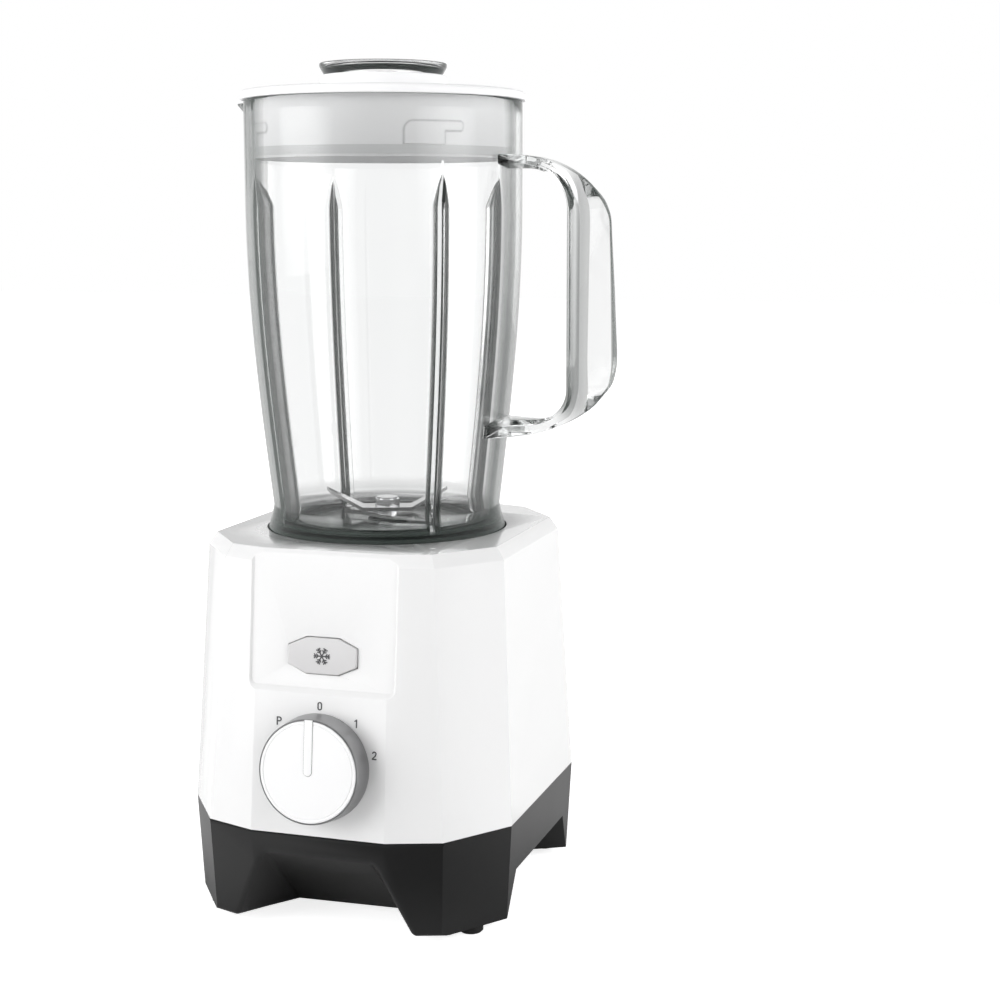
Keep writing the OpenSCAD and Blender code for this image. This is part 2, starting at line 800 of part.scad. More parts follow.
module lower_bracket() {
    pedestal_top = brush_z - brush_w / 2 - holder_wall;
    color("silver") difference() {
        union() {
            translate([0, 0, lower_top - bracket_t]) bracket_sheet();
            translate([0, 0, sleeve_z]) cylinder(r = sleeve_r + hub_wall, h = sleeve_h);
            four_corners(leg_x, leg_y) translate([0, 0, lower_top - 0.5])
                cylinder(r = motor_leg_r, h = stator_z - lower_top + 0.5);
            for (side = [-1, 1]) translate([side * (commutator_r + brush_l / 2 + 4), 0, lower_top - 0.5])
                linear_extrude(pedestal_top - lower_top + 0.5) square([brush_l - 4, brush_w + 3], center = true);
        }
        translate([0, 0, sleeve_z - over]) cylinder(r = sleeve_r, h = sleeve_h + 2 * over);
    }
}

module motor_dampers() {
    color("black") four_corners(mount_x, mount_y)
        translate([0, 0, bracket_top]) tube(boss_r + 1, motor_screw_r, damper_t);
}

module motor_screws() {
    color("silver") four_corners(mount_x, mount_y) translate([0, 0, bracket_top - bracket_t])
        screw(motor_screw_r, motor_screw_head_r, 2.4, bracket_t + damper_t + boss_h - 2);
}

// Two coils, each looped round a pole: legs in the stator's slots, ends above and below it.
module coil_pair() {
    for (side = [0, 180]) rotate([0, 0, side]) difference() {
        translate([0, 0, stator_z - winding_h])
            sector(coil_out_r, coil_in_r, coil_half_angle, stator_h + 2 * winding_h);
        translate([0, 0, stator_z])
            sector(coil_out_r + over, coil_in_r - over, pole_half_angle, stator_h);
    }
}

module stator() {
    color("gray") difference() {
        translate([0, 0, stator_z]) intersection() {
            cylinder(r = stator_r, h = stator_h);
            translate([-stator_r - over, -stator_flat / 2, 0])
                cube([2 * (stator_r + over), stator_flat, stator_h]);
        }
        translate([0, 0, stator_z - over]) cylinder(r = core_r + air_gap, h = stator_h + 2 * over);
        coil_pair();
    }
}

module field_coils() {
    color("sienna") coil_pair();
}

module at_brushes() {
    for (side = [0, 180]) rotate([0, 0, side]) translate([commutator_r, 0, brush_z]) children();
}

module brush_holders() {
    side = brush_w + 2 * holder_wall;
    color("goldenrod") at_brushes() difference() {
        translate([2, -side / 2, -side / 2]) cube([brush_l, side, side]);
        translate([2 - over, -brush_w / 2, -brush_w / 2]) cube([brush_l + 2 * over, brush_w, brush_w]);
    }
}

module carbon_brushes() {
    color("black") at_brushes()
        translate([brush_gap, -brush_w / 2, -brush_w / 2]) cube([brush_l, brush_w, brush_w]);
}

module upper_bearing() {
    color("silver") translate([0, 0, bearing_z]) tube(bearing_r, shaft_r + running_gap, bearing_h);
}

module lower_bearing() {
    color("goldenrod") translate([0, 0, sleeve_z]) tube(sleeve_r, shaft_r + running_gap, sleeve_h);
}

module on_core() {
    for (i = [0 : core_slots - 1]) rotate([0, 0, 360 / core_slots * i]) children();
}

module armature_core() {
    color("gray") translate([0, 0, stator_z + 1]) difference() {
        tube(core_r, shaft_r, stator_h - 2);
        on_core() translate([core_r - slot_depth, -slot_w / 2, -over])
            cube([slot_depth + over, slot_w, stator_h]);
    }
}

module armature_windings() {
    end_h = winding_h - 1.5;
    color("sienna") difference() {
        union() {
            for (z = [stator_z + 1 - end_h, stator_top - 1]) translate([0, 0, z])
                cylinder(r = core_r - 2.5, h = end_h);
            on_core() translate([core_r - slot_depth, -slot_w / 2, stator_z - 1])
                cube([slot_depth - 1.5, slot_w, stator_h + 2]);
        }
        translate([0, 0, stator_z - winding_h - over])
            cylinder(r = shaft_r, h = stator_h + 2 * winding_h + 2 * over);
    }
}

module commutator() {
    color("peru") translate([0, 0, commutator_z]) difference() {
        tube(commutator_r, shaft_r, commutator_h);
        on_core() translate([commutator_r - 0.8, -0.3, -over]) cube([2, 0.6, commutator_h + 2 * over]);
    }
}

module motor_shaft() {
    color("silver") translate([0, 0, fan_z - 2]) cylinder(r = shaft_r, h = seat_z - fan_z + 2);
}

module cooling_fan() {
    color("black") translate([0, 0, fan_z]) difference() {
        union() {
            cylinder(r = fan_hub_r, h = fan_h);
            translate([0, 0, fan_h - 1.6]) cylinder(r = fan_r, h = 1.6);
            for (i = [0 : fan_blades - 1]) rotate([0, 0, 360 / fan_blades * i])
                translate([fan_hub_r - 0.5, -0.7, 0]) cube([fan_r - fan_hub_r - 0.5, 1.4, fan_h - 1]);
        }
        translate([0, 0, -over]) cylinder(r = shaft_r, h = fan_h + 2 * over);
    }
}

// ---- Drive coupling ----

module lobed(r, grow) {
    circle(r = 0.68 * r + grow);
    for (i = [0 : lobes - 1]) rotate(360 / lobes * i) translate([0.79 * r, 0]) circle(r = 0.21 * r + grow);
}

module drive_socket() {
    color("black") difference() {
        translate([0, 0, socket_z]) cylinder(r = socket_r, h = socket_top - socket_z);
        translate([0, 0, seat_z]) linear_extrude(socket_rise + over) lobed(dog_r, dog_gap);
        translate([0, 0, socket_z - over]) cylinder(r = shaft_r, h = seat_z - socket_z + 2 * over);
    }
}

module drive_dog() {
    color("dimgray") translate([0, 0, dog_z]) difference() {
        linear_extrude(holder_z - dog_z - 0.4) lobed(dog_r, 0);
        translate([0, 0, -over]) cylinder(r = blade_shaft_r, h = holder_z - dog_z + 2 * over);
    }
}

// ---- Dial ----

module dial_knob() {
    cup_r = dial_r - dial_ring_t;
    color("white") on_front(dial_z) rotate_extrude()
        polygon([[spindle_r, dial_gap], [spindle_r + 2.6, dial_gap], [spindle_r + 2.6, dial_proud - 2],
            [cup_r - 2, dial_proud - 2], [cup_r - 2, dial_gap], [cup_r, dial_gap],
            [cup_r, dial_proud - 0.6], [cup_r - 0.6, dial_proud], [0, dial_proud],
            [0, dial_proud - 3], [spindle_r, dial_proud - 3]]);
}

module dial_ring() {
    cup_r = dial_r - dial_ring_t;
    color("silver") on_front(dial_z) rotate_extrude()
        polygon([[cup_r, dial_gap], [dial_back_r, dial_gap], [dial_r, dial_proud - 0.9],
            [dial_r - 0.5, dial_proud - 0.4], [cup_r, dial_proud - 0.4]]);
}

module dial_marker() {
    color("white") on_front(dial_z) translate([0, 0, dial_proud]) linear_extrude(marker_t) {
        translate([-marker_w / 2, marker_w / 2]) square([marker_w, dial_r - marker_w / 2 - 0.6]);
        translate([0, marker_w / 2]) circle(r = marker_w / 2);
    }
}

module dial_spindle() {
    color("gray") on_front(dial_z) translate([0, 0, -wall - switch_d + 3])
        cylinder(r = spindle_r, h = wall + switch_d + dial_proud - 6);
}

module speed_switch() {
    color("black") on_front(dial_z) difference() {
        union() {
            translate([-switch_w / 2, -switch_w / 2, -wall - switch_d]) cube([switch_w, switch_w, switch_d]);
            translate([0, 0, -wall - 0.5]) cylinder(r = bushing_r, h = wall + 0.8);
        }
        translate([0, 0, -wall - switch_d + 2])
            cylinder(r = spindle_r + running_gap, h = switch_d + wall + over);
    }
}

// Strokes of the characters, drawn about their middle.
module bar(w, h) {
    square([w, h], center = true);
}

module arc_stroke(r, from, to) {
    difference() {
        circle(r = r);
        circle(r = r - stroke);
        for (a = [to : 30 : from + 330]) rotate(a)
            polygon([[0, 0], [3 * r, 0], [3 * r * cos(30), 3 * r * sin(30)]]);
    }
}

module sign_0() {
    r = legend_h * 0.29;
    for (side = [-1, 1]) translate([side * (r - stroke / 2), 0]) bar(stroke, legend_h - 2 * r);
    translate([0, legend_h / 2 - r]) arc_stroke(r, 0, 180);
    translate([0, r - legend_h / 2]) arc_stroke(r, 180, 360);
}

module sign_1() {
    bar(stroke, legend_h);
    translate([-stroke * 0.8, legend_h / 2 - stroke * 1.1]) rotate(35) bar(stroke * 2.2, stroke * 0.9);
}

module sign_2() {
    r = legend_h * 0.28;
    translate([0, legend_h / 2 - r]) arc_stroke(r, -60, 180);
    translate([0, (stroke - legend_h) / 2]) bar(2 * r, stroke);
    translate([-r * 0.12, -legend_h * 0.19]) rotate(46) bar(legend_h * 0.62, stroke);
}

module sign_p() {
    r = legend_h * 0.29;
    translate([-r * 0.8, 0]) bar(stroke, legend_h);
    translate([r * 0.1, legend_h / 2 - r]) arc_stroke(r, -90, 90);
    for (y = [legend_h / 2 - stroke / 2, legend_h / 2 - 2 * r + stroke / 2])
        translate([-r * 0.35, y]) bar(r * 0.95, stroke);
}

module at_sign(angle) {
    translate([legend_ring_r * sin(angle), legend_ring_r * cos(angle), 0]) linear_extrude(print_t) children();
}

module dial_legends() {
    color("dimgray") on_front(dial_z) {
        at_sign(-pulse_angle) sign_p();
        at_sign(0) sign_0();
        at_sign(speed_1_angle) sign_1();
        at_sign(speed_2_angle) sign_2();
    }
}

// ---- Ice button ----

module ice_button() {
    rim = 1.5;
    color("gainsboro") on_front(button_z) {
        translate([0, 0, button_back]) linear_extrude(panel_floor + button_proud - button_back)
            octagon(button_w, button_h, button_flat_w, button_end_h);
        translate([0, 0, button_back - button_flange_t]) linear_extrude(button_flange_t)
            octagon(button_w + 2 * rim, button_h + 2 * rim, button_flat_w + rim, button_end_h + rim);
    }
}

module snowflake_mark() {
    arm = button_h * 0.24;
    color("dimgray") on_front(button_z) translate([0, 0, panel_floor + button_proud])
        linear_extrude(print_t) for (i = [0 : 5]) rotate(60 * i) {
            translate([arm / 2, 0]) bar(arm, stroke);
            for (side = [-1, 1], at = [0.45, 0.72])
                translate([arm * at + arm * 0.11, side * arm * 0.13]) rotate(side * 50)
                    bar(arm * 0.36, stroke * 0.9);
        }
}

module ice_plunger() {
    color("white") on_front(button_z) translate([0, 0, board_front + 0.4 + button_travel])
        cylinder(r = plunger_r, h = button_back - button_flange_t - board_front - 0.4 - button_travel);
}

module switch_board() {
    color("darkgreen") on_front(button_z) translate([0, 0, board_back]) difference() {
        linear_extrude(switch_board_t) square([switch_board_w, switch_board_h], center = true);
        for (side = [-1, 1]) translate([side * board_post_x, 0, -over])
            cylinder(r = stake_r + 0.1, h = switch_board_t + 2 * over);
    }
}

module ice_switch() {
    color("black") on_front(button_z) translate([0, 0, board_front]) difference() {
        linear_extrude(ice_switch_t) square([ice_switch_w, ice_switch_d], center = true);
        translate([0, 0, -over]) cylinder(r = plunger_r + 0.06, h = ice_switch_t + 2 * over);
    }
}

// ---- Jug ----

// Outer radius of the swelling part, u being 0 at the waist and 1 at its top.
function swell(u) = waist_r + (jug_r - waist_r) * sin(90 * u);

swell_steps = 14;
function swell_side(inset_by) = [for (i = [0 : swell_steps])
    [swell(i / swell_steps) - inset_by, waist_z + swell_h * i / swell_steps]];

module jug_outside() {
    rotate_extrude() polygon(concat([[0, seat_z], [jug_foot_r, seat_z], [jug_foot_r, top_z]],
        swell_side(0), [[jug_r, rim_z - 0.8], [jug_r - 0.8, rim_z], [0, rim_z]]));
}

module jug_inside() {
    floor_r = waist_r - jug_wall - floor_fillet;
    fillet = [for (a = [0 : 18 : 90])
        [floor_r + floor_fillet * sin(a), floor_z + floor_fillet * (1 - cos(a))]];
    rotate_extrude() polygon(concat([[0, floor_z]], fillet, swell_side(jug_wall),
        [[jug_r - jug_wall, rim_z + over], [0, rim_z + over]]));
}

// A pouring lip or the channel in it, drawn in by a wall.
module pour_lip(in, up) {
    low = jug_r - jug_wall / 2;
    tip = jug_r + lip_out - in;
    half = lip_half_w - in;
    foot_half = 2.5 - in * 0.6;
    rotate([0, 0, 180]) loft([
        [[low - 8, -foot_half, rim_z - lip_h + in], [low - in, -foot_half, rim_z - lip_h + in],
            [low - in + 0.3, 0, rim_z - lip_h + in], [low - in, foot_half, rim_z - lip_h + in],
            [low - 8, foot_half, rim_z - lip_h + in]],
        [[low - 8, -half, rim_z + up], [low - in * 0.6, -half, rim_z + up], [tip, 0, rim_z + up],
            [low - in * 0.6, half, rim_z + up], [low - 8, half, rim_z + up]]]);
}

module rib() {
    inner = [for (p = swell_side(jug_wall + rib_depth)) if (p[1] < rib_top_z - rib_depth * 2) p];
    outer = [for (p = swell_side(jug_wall / 2)) if (p[1] < rib_top_z) p];
    rotate([90, 0, 0]) linear_extrude(rib_t, center = true) polygon(concat(
        [[waist_r - jug_wall / 2, floor_z], [waist_r - jug_wall - rib_depth + 2, floor_z]], inner,
        [[jug_r - jug_wall - rib_depth * 0.75, rib_top_z - rib_depth], [jug_r - jug_wall, rib_top_z],
            [jug_r - jug_wall / 2, rib_top_z]],
        [for (i = [len(outer) - 1 : -1 : 0]) outer[i]]));
}

module jug() {
    color("lightsteelblue", 0.5) {
        difference() {
            union() {
                jug_outside();
                pour_lip(0, 0);
            }
            jug_inside();
            pour_lip(2, over);
            translate([0, 0, seat_z - over])
                cylinder(r = jug_foot_r - foot_ring_t, h = floor_under - seat_z + over);
            translate([0, 0, floor_under - over]) cylinder(r = holder_r, h = floor_t + 2 * over);
            for (i = [0 : 3]) rotate([0, 0, 90 * i])
                translate([seat_r - key_in - play, -key_w / 2 - play, seat_z - over])
                    cube([key_in + 2, key_w + 2 * play, key_h + play + over]);
        }
        for (i = [0 : rib_count - 1]) rotate([0, 0, 360 / rib_count * (i + 0.5)]) rib();
    }
}

// ---- Handle ----

// Fall of an arc of radius r at a distance d past its top.
function fall(r, d) = r - sqrt(r * r - pow(min(r, max(0, d)), 2));

// Points on the finger side and on the back of an arm, u running from the jug to the grip.
function finger_point(u, r) = let (x = root_x + (grip_x - root_x) * sin(90 * u))
    [x, fall(r, x - grip_x + r)];

function back_point(u, end_x, bend_x, r) = let (x = root_x + (end_x - root_x) * u)
    [x, fall(r, x - bend_x)];

// Half of the handle's width, at the finger side and at the back.
function flare(u) = grip_half_w + (root_half_w - grip_half_w) * pow(1 - min(1, u / 0.5), 2);

function back_half(u) = let (t = max(0, (u - 0.35) / 0.65)) flare(u) * (1 - t) + edge_half * t;

// One ring of eight points from the finger side p to the back q.
function handle_ring(p, q, w, w_back) = let (depth = norm(q - p), d1 = min(2.2, 0.3 * depth) / depth,
        d2 = min(6.5, 0.72 * depth) / depth, profile = [[0, 0.55 * w], [d1, w], [d2, w], [1, w_back],
        [1, -w_back], [d2, -w], [d1, -w], [0, -0.55 * w]])
    [for (s = profile) let (m = p + (q - p) * s[0]) [m[0], s[1], m[1]]];

function upper_ring(u) = let (f = finger_point(u, upper_finger_r),
        b = back_point(u, upper_end_x, upper_bend_x, upper_back_r))
    handle_ring([f[0], arm_top_z - arm_t - f[1]], [b[0], arm_top_z - b[1]], flare(u), back_half(u));

function lower_ring(u) = let (f = finger_point(u, lower_finger_r),
        b = back_point(u, lower_end_x, lower_bend_x, lower_back_r))
    handle_ring([f[0], arm_foot_z + foot_arm_t + f[1]], [b[0], arm_foot_z + b[1]], flare(u), back_half(u));

// A level ring of the grip at a height, its back lying at a distance in from the deepest point.
function grip_ring(z, z_back, lean, w_back) =
    handle_ring([grip_x, z], [grip_x + grip_depth - lean, z_back], grip_half_w, w_back);

module jug_handle() {
    steps = 8;
    upper_foot = arm_top_z - arm_t - upper_finger_r;
    lower_head = arm_foot_z + foot_arm_t + lower_finger_r;
    color("lightsteelblue", 0.5) difference() {
        loft(concat([for (i = [0 : steps]) upper_ring(i / steps)], [
            grip_ring(upper_foot - 2, spine_top_z + 7.5, 6, facet_half),
            grip_ring(spine_top_z - 2, spine_top_z, 2.4, edge_half),
            grip_ring(spine_foot_z, spine_foot_z, 0, spine_half),
            grip_ring(lower_head + 3, spine_foot_z - 9.8, 1.2, facet_half)],
            [for (i = [steps : -1 : 0]) lower_ring(i / steps)]));
        jug_outside();
    }
}

// ---- Blade unit ----

module blade_plate() {
    color("silver") translate([0, 0, floor_z]) tube(plate_r, nose_r + seat_play, blade_plate_t);
}

module blade_holder() {
    color("dimgray") rotate_extrude() polygon([[bush_r, holder_z], [holder_flange_r, holder_z],
        [holder_flange_r, holder_top], [holder_r - seat_play, holder_top],
        [holder_r - seat_play, floor_z], [nose_r, floor_z], [nose_r, nose_z - 0.6],
        [nose_r - 0.6, nose_z], [bush_r, nose_z]]);
}

module holder_seal() {
    color("black") translate([0, 0, holder_top]) tube(holder_flange_r - 3, holder_r + 3, holder_seal_t);
}

module blade_bush() {
    color("goldenrod") translate([0, 0, holder_z])
        tube(bush_r, blade_shaft_r + running_gap, nose_z - holder_z - shaft_seal_h);
}

module shaft_seal() {
    color("black") translate([0, 0, nose_z - shaft_seal_h])
        tube(bush_r, blade_shaft_r + running_gap, shaft_seal_h);
}

module blade_shaft() {
    color("silver") translate([0, 0, dog_z + 1]) cylinder(r = blade_shaft_r, h = nut_z + nut_h - dog_z - 2);
}

// A blade with a flat middle and two pointed wings, each bent by an angle.
module blade(angle) {
    rise = (blade_r - bend_r) * tan(angle);
    shift = blade_t * tan(angle / 2);
    side = [[bend_r, 0], [blade_r, rise], [blade_r, rise + blade_t / cos(angle)],
        [bend_r - shift, blade_t]];
    difference() {
        intersection() {
            rotate([90, 0, 0]) linear_extrude(blade_w + 2 * over, center = true)
                polygon(concat(side, [for (i = [3 : -1 : 0]) [-side[i][0], side[i][1]]]));
            translate([0, 0, -blade_r]) linear_extrude(2 * blade_r) for (turn = [0, 180]) rotate(turn)
                polygon([[-over, -blade_w / 2], [bend_r, -blade_w / 2], [blade_r, -blade_w * 0.1],
                    [blade_r * 0.93, blade_w * 0.3], [bend_r, blade_w / 2], [-over, blade_w / 2]]);
        }
        translate([0, 0, -over]) cylinder(r = blade_shaft_r, h = blade_t + 2 * over);
    }
}

module lower_blade() {
    color("silver") translate([0, 0, lower_blade_z]) rotate([0, 0, lower_blade_turn]) blade(-blade_drop_angle);
}

module upper_blade() {
    color("silver") translate([0, 0, upper_blade_z]) rotate([0, 0, upper_blade_turn]) blade(blade_rise_angle);
}

module blade_spacer() {
    color("silver") translate([0, 0, lower_blade_z + blade_t]) tube(blade_shaft_r + 3, blade_shaft_r, spacer_h);
}

module blade_nut() {
    color("silver") translate([0, 0, nut_z]) difference() {
        union() {
            cylinder(r = nut_r, h = nut_h, $fn = 6);
            cylinder(r = nut_r * 0.8, h = nut_h + 0.8);
        }
        translate([0, 0, -over]) cylinder(r = blade_shaft_r, h = nut_h + over);
    }
}

// ---- Lid and cap ----

// A bayonet lug on the plug: a raised bar with a leg at one end.
module lid_lug() {
    root_r = plug_r - lug_t;
    for (part = [[0, 13, plug_z + 11, 4.4], [-8, 4.5, plug_z + 6, 6]])
        translate([0, 0, part[2]]) rotate([0, 0, part[0]]) linear_extrude(part[3]) polygon(concat(
            [for (i = [-3 : 3]) (plug_r + lug_t) * [cos(part[1] * i / 3), sin(part[1] * i / 3)]],
            [for (i = [3 : -1 : -3]) root_r * [cos(part[1] * i / 3), sin(part[1] * i / 3)]]));
}

module lid() {
    color("white") difference() {
        union() {
            rotate_extrude() polygon([[collar_bore_r, rim_z], [lid_r, rim_z], [lid_r, lid_top - 2.2],
                [lid_r - 0.6, lid_top - 1], [lid_r - 2, lid_top - 0.3], [lid_r - 4, lid_top],
                [collar_r, lid_top], [collar_r, collar_top - 0.5], [collar_r - 0.5, collar_top],
                [collar_bore_r, collar_top]]);
            translate([0, 0, plug_z]) tube(plug_r, plug_r - plug_t, plug_h + 0.5);
            translate([0, 0, rim_z - bore_drop])
                tube(collar_bore_r + 2.2, collar_bore_r, bore_drop + 0.5);
            for (i = [0 : 3]) rotate([0, 0, 90 * i - 48]) lid_lug();
        }
        translate([0, 0, gasket_z]) tube(plug_r + over, plug_r - gasket_in, gasket_h);
    }
}

module lid_gasket() {
    color("gray") translate([0, 0, gasket_z])
        tube(jug_r - jug_wall - 0.25, plug_r - gasket_in, gasket_h);
}

module filler_cap() {
    dish = cap_top - 1.2;
    color("lightsteelblue", 0.5) rotate_extrude() polygon([[cap_wall_r - cap_t, cap_z],
        [cap_wall_r, cap_z], [cap_wall_r, collar_top], [collar_bore_r + 1.2, collar_top],
        [cap_r, cap_top - 1.4], [cap_r, cap_top - 0.4], [cap_r - 0.4, cap_top], [cap_r - 2.4, cap_top],
        [cap_r - 3.4, dish], [0, dish], [0, dish - cap_t], [cap_wall_r - cap_t, dish - cap_t]]);
}

housing();
skirt();
bottom_plate();
rubber_feet();
base_screws();
plate_screws();
dial_legends();
cord_gland();
upper_bracket();
lower_bracket();
motor_dampers();
motor_screws();
stator();
field_coils();
brush_holders();
carbon_brushes();
upper_bearing();
lower_bearing();
speed_switch();
switch_board();
ice_switch();
armature_core();
armature_windings();
commutator();
motor_shaft();
cooling_fan();
drive_socket();
dial_knob();
dial_ring();
dial_marker();
dial_spindle();
ice_button();
snowflake_mark();
ice_plunger();
jug();
jug_handle();
blade_plate();
blade_holder();
holder_seal();
blade_bush();
shaft_seal();
blade_shaft();
upper_blade();
lower_blade();
blade_spacer();
blade_nut();
drive_dog();
lid();
lid_gasket();
filler_cap();
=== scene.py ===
# %% [markdown]
# # A countertop blender
# The motion model of this blender was made first, as exact solids. This script dresses it: it
# loads those solids as a fixed frame, lays finer surfaces over the pieces whose curves and edges
# show, and gives each piece the finish of the real thing. The table is at z = 0, the dial faces
# -Y and the handle is at +X. Shapes are worked out in millimetres and put down in metres.

# %% Load the fixed frame
import json
import math

import bmesh
import bpy
import numpy as np
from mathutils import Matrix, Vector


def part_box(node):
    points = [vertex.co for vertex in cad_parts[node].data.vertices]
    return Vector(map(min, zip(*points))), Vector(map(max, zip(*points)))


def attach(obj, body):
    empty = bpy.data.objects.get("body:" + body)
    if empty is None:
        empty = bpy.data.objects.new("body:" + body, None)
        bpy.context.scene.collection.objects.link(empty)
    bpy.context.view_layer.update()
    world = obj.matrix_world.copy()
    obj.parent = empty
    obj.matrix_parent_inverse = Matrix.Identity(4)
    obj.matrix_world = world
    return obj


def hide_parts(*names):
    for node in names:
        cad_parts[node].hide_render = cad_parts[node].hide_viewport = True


MM = 0.001
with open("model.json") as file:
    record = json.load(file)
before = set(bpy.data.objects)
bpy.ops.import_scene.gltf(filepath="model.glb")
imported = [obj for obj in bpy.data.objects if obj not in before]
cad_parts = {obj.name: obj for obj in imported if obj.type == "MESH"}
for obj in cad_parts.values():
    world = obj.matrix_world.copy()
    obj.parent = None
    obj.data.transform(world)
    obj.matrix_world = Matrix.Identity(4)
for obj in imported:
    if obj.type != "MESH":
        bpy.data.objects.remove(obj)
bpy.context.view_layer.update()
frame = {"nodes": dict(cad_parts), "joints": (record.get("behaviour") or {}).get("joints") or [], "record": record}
nodes = frame["nodes"]
scene = bpy.context.scene


def low_mm(node):
    """Lowest corner of a node, in millimetres."""
    return np.array(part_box(node)[0]) / MM


def high_mm(node):
    """Highest corner of a node, in millimetres."""
    return np.array(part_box(node)[1]) / MM


# %% [markdown]
# ## Helpers for shapes
# A curved piece is a grid of points: each point is worked out from two numbers, one along the
# piece and one round it. One helper turns any such grid into a mesh, so each piece below is only
# its own formula.

# %% Faces of a grid, and the finish of a mesh
SAME_POINT = 2e-6


def grid_faces(rows, columns, close_rows, close_columns):
    """Four-cornered faces between neighbouring points, wrapping round where a way is closed."""
    i, j = np.meshgrid(np.arange(rows if close_rows else rows - 1),
                       np.arange(columns if close_columns else columns - 1), indexing="ij")
    k, m = (i + 1) % rows, (j + 1) % columns
    corners = [i * columns + j, k * columns + j, k * columns + m, i * columns + m]
    return np.stack(corners, axis=-1).reshape(-1, 4)


def finish_mesh(mesh, crease):
    """Merges doubles, turns every face outwards and shades softly up to an angle."""
    work = bmesh.new()
    work.from_mesh(mesh)
    bmesh.ops.remove_doubles(work, verts=work.verts, dist=SAME_POINT)
    bmesh.ops.dissolve_degenerate(work, edges=work.edges, dist=SAME_POINT / 2)
    bmesh.ops.recalc_face_normals(work, faces=work.faces)
    work.to_mesh(mesh)
    work.free()
    mesh.shade_smooth()
    mesh.set_sharp_from_angle(angle=math.radians(crease))


# %% From points to a piece
def add_piece(name, points, faces, body, finish, crease, shade=None):
    """Makes a mesh from points in millimetres and lets it ride on a body of the frame. Edges
    sharper than the crease, in degrees, stay crisp. shade is one number a point, kept as an
    attribute that a finish can read."""
    mesh = bpy.data.meshes.new(name)
    corners = np.asarray(points).reshape(-1, 3) * MM
    mesh.from_pydata(corners.tolist(), [], [list(face) for face in faces])
    if shade is not None:
        layer = mesh.attributes.new("shade", "FLOAT", "POINT")
        layer.data.foreach_set("value", np.asarray(shade, float).ravel())
    finish_mesh(mesh, crease)
    piece = bpy.data.objects.new(name, mesh)
    scene.collection.objects.link(piece)
    mesh.materials.append(finish)
    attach(piece, body)
    print(name, "faces:", len(mesh.polygons))
    return piece


# %% Rounded lines and turned shapes
AROUND, NEAR_AXIS = 160, 0.01


def rounded(corners, radii, steps=5):
    """Replaces each inner corner of a line by a short curve that starts a radius before it and
    ends a radius after it, as (1-t)(1-t) start + 2t(1-t) corner + tt end. The line's two ends
    stay, and so does a corner with the radius 0."""
    corners = np.asarray(corners, float)
    t = np.linspace(0, 1, steps)[:, None]
    out = [corners[:1]]
    for before, here, after, radius in zip(corners, corners[1:], corners[2:], radii[1:]):
        if radius == 0:
            out.append(here[None])
            continue
        ends = []
        for way in (before - here, after - here):
            length = np.linalg.norm(way)
            ends.append(here + way / length * min(radius, 0.49 * length))
        out.append((1 - t) ** 2 * ends[0] + 2 * t * (1 - t) * here + t ** 2 * ends[1])
    return np.concatenate(out + [corners[-1:]])


def swept(radius, angle, height):
    """Points at a radius, an angle round the upright axis and a height, as one grid."""
    return np.stack([radius * np.cos(angle), radius * np.sin(angle), height + 0 * angle], axis=-1)


def add_turned(name, profile, body, finish, crease, place=None):
    """A turned piece: a closed line of (radius, height) swept round the upright axis. place
    moves its points onto the front."""
    angle = np.linspace(0, 2 * np.pi, AROUND, endpoint=False)
    points = swept(profile[:, 0, None], angle, profile[:, 1, None])
    if place:
        points = place(points)
    faces = grid_faces(len(profile), AROUND, True, True)
    return add_piece(name, points, faces, body, finish, crease)


def smooth_step(value, start, end):
    """0 below start, 1 above end, and 3tt - 2ttt between them."""
    t = np.clip((value - start) / (end - start), 0, 1)
    return t * t * (3 - 2 * t)


# %% Places on the leaning front face
JOINTS = {row["name"]: row for row in frame["joints"]}
inward = JOINTS["dial_turn"]["axis"]
front_tilt = math.atan2(-inward[2], inward[1])
FACE_UP = np.array([0, math.sin(front_tilt), math.cos(front_tilt)])
FACE_OUT = np.array([0, -math.cos(front_tilt), math.sin(front_tilt)])
SEAM_Z = low_mm("housing")[2]
SEAM_Y = low_mm("housing")[1]


def on_front(height):
    """Gives a mover from (right, up, out) on the front face to the frame, at a height."""
    foot = np.array([0, SEAM_Y + (height - SEAM_Z) * math.tan(front_tilt), height])

    def move(points):
        points = np.asarray(points, float)
        right = points[..., 0:1] * np.array([1.0, 0, 0])
        return foot + right + points[..., 1:2] * FACE_UP + points[..., 2:3] * FACE_OUT

    return move


print("the front leans by", round(math.degrees(front_tilt), 2), "degrees")

# %% [markdown]
# ## Shader helpers
# Shader maths reads best as plain expressions. The class wraps an output socket, so `1 - mask`
# adds the Math node by itself, and one function adds any other node.

# %% A small class for shader sockets
class Socket:
    """An output socket of a material's tree, with arithmetic on it."""

    def __init__(self, tree, output):
        self.tree = tree
        self.output = output

    def math(self, operation, first, second):
        return add_node(self.tree, "ShaderNodeMath", {"operation": operation}, [first, second])

    def __add__(self, other):
        return self.math("ADD", self, other)

    def __mul__(self, other):
        return self.math("MULTIPLY", self, other)

    def __rsub__(self, other):
        return self.math("SUBTRACT", other, self)

    __radd__ = __add__
    __rmul__ = __mul__


def add_node(tree, kind, settings=None, values=None, result=0):
    """Adds one node: its settings first, then the values or links of its sockets."""
    node = tree.nodes.new(kind)
    for name, value in (settings or {}).items():
        setattr(node, name, value)
    items = enumerate(values) if isinstance(values, list) else (values or {}).items()
    for key, value in items:
        if isinstance(value, Socket):
            tree.links.new(value.output, node.inputs[key])
        else:
            node.inputs[key].default_value = value
    return Socket(tree, node.outputs[result])


# %% Nodes that the finishes share
def grey(value):
    return (value, value, value, 1.0)


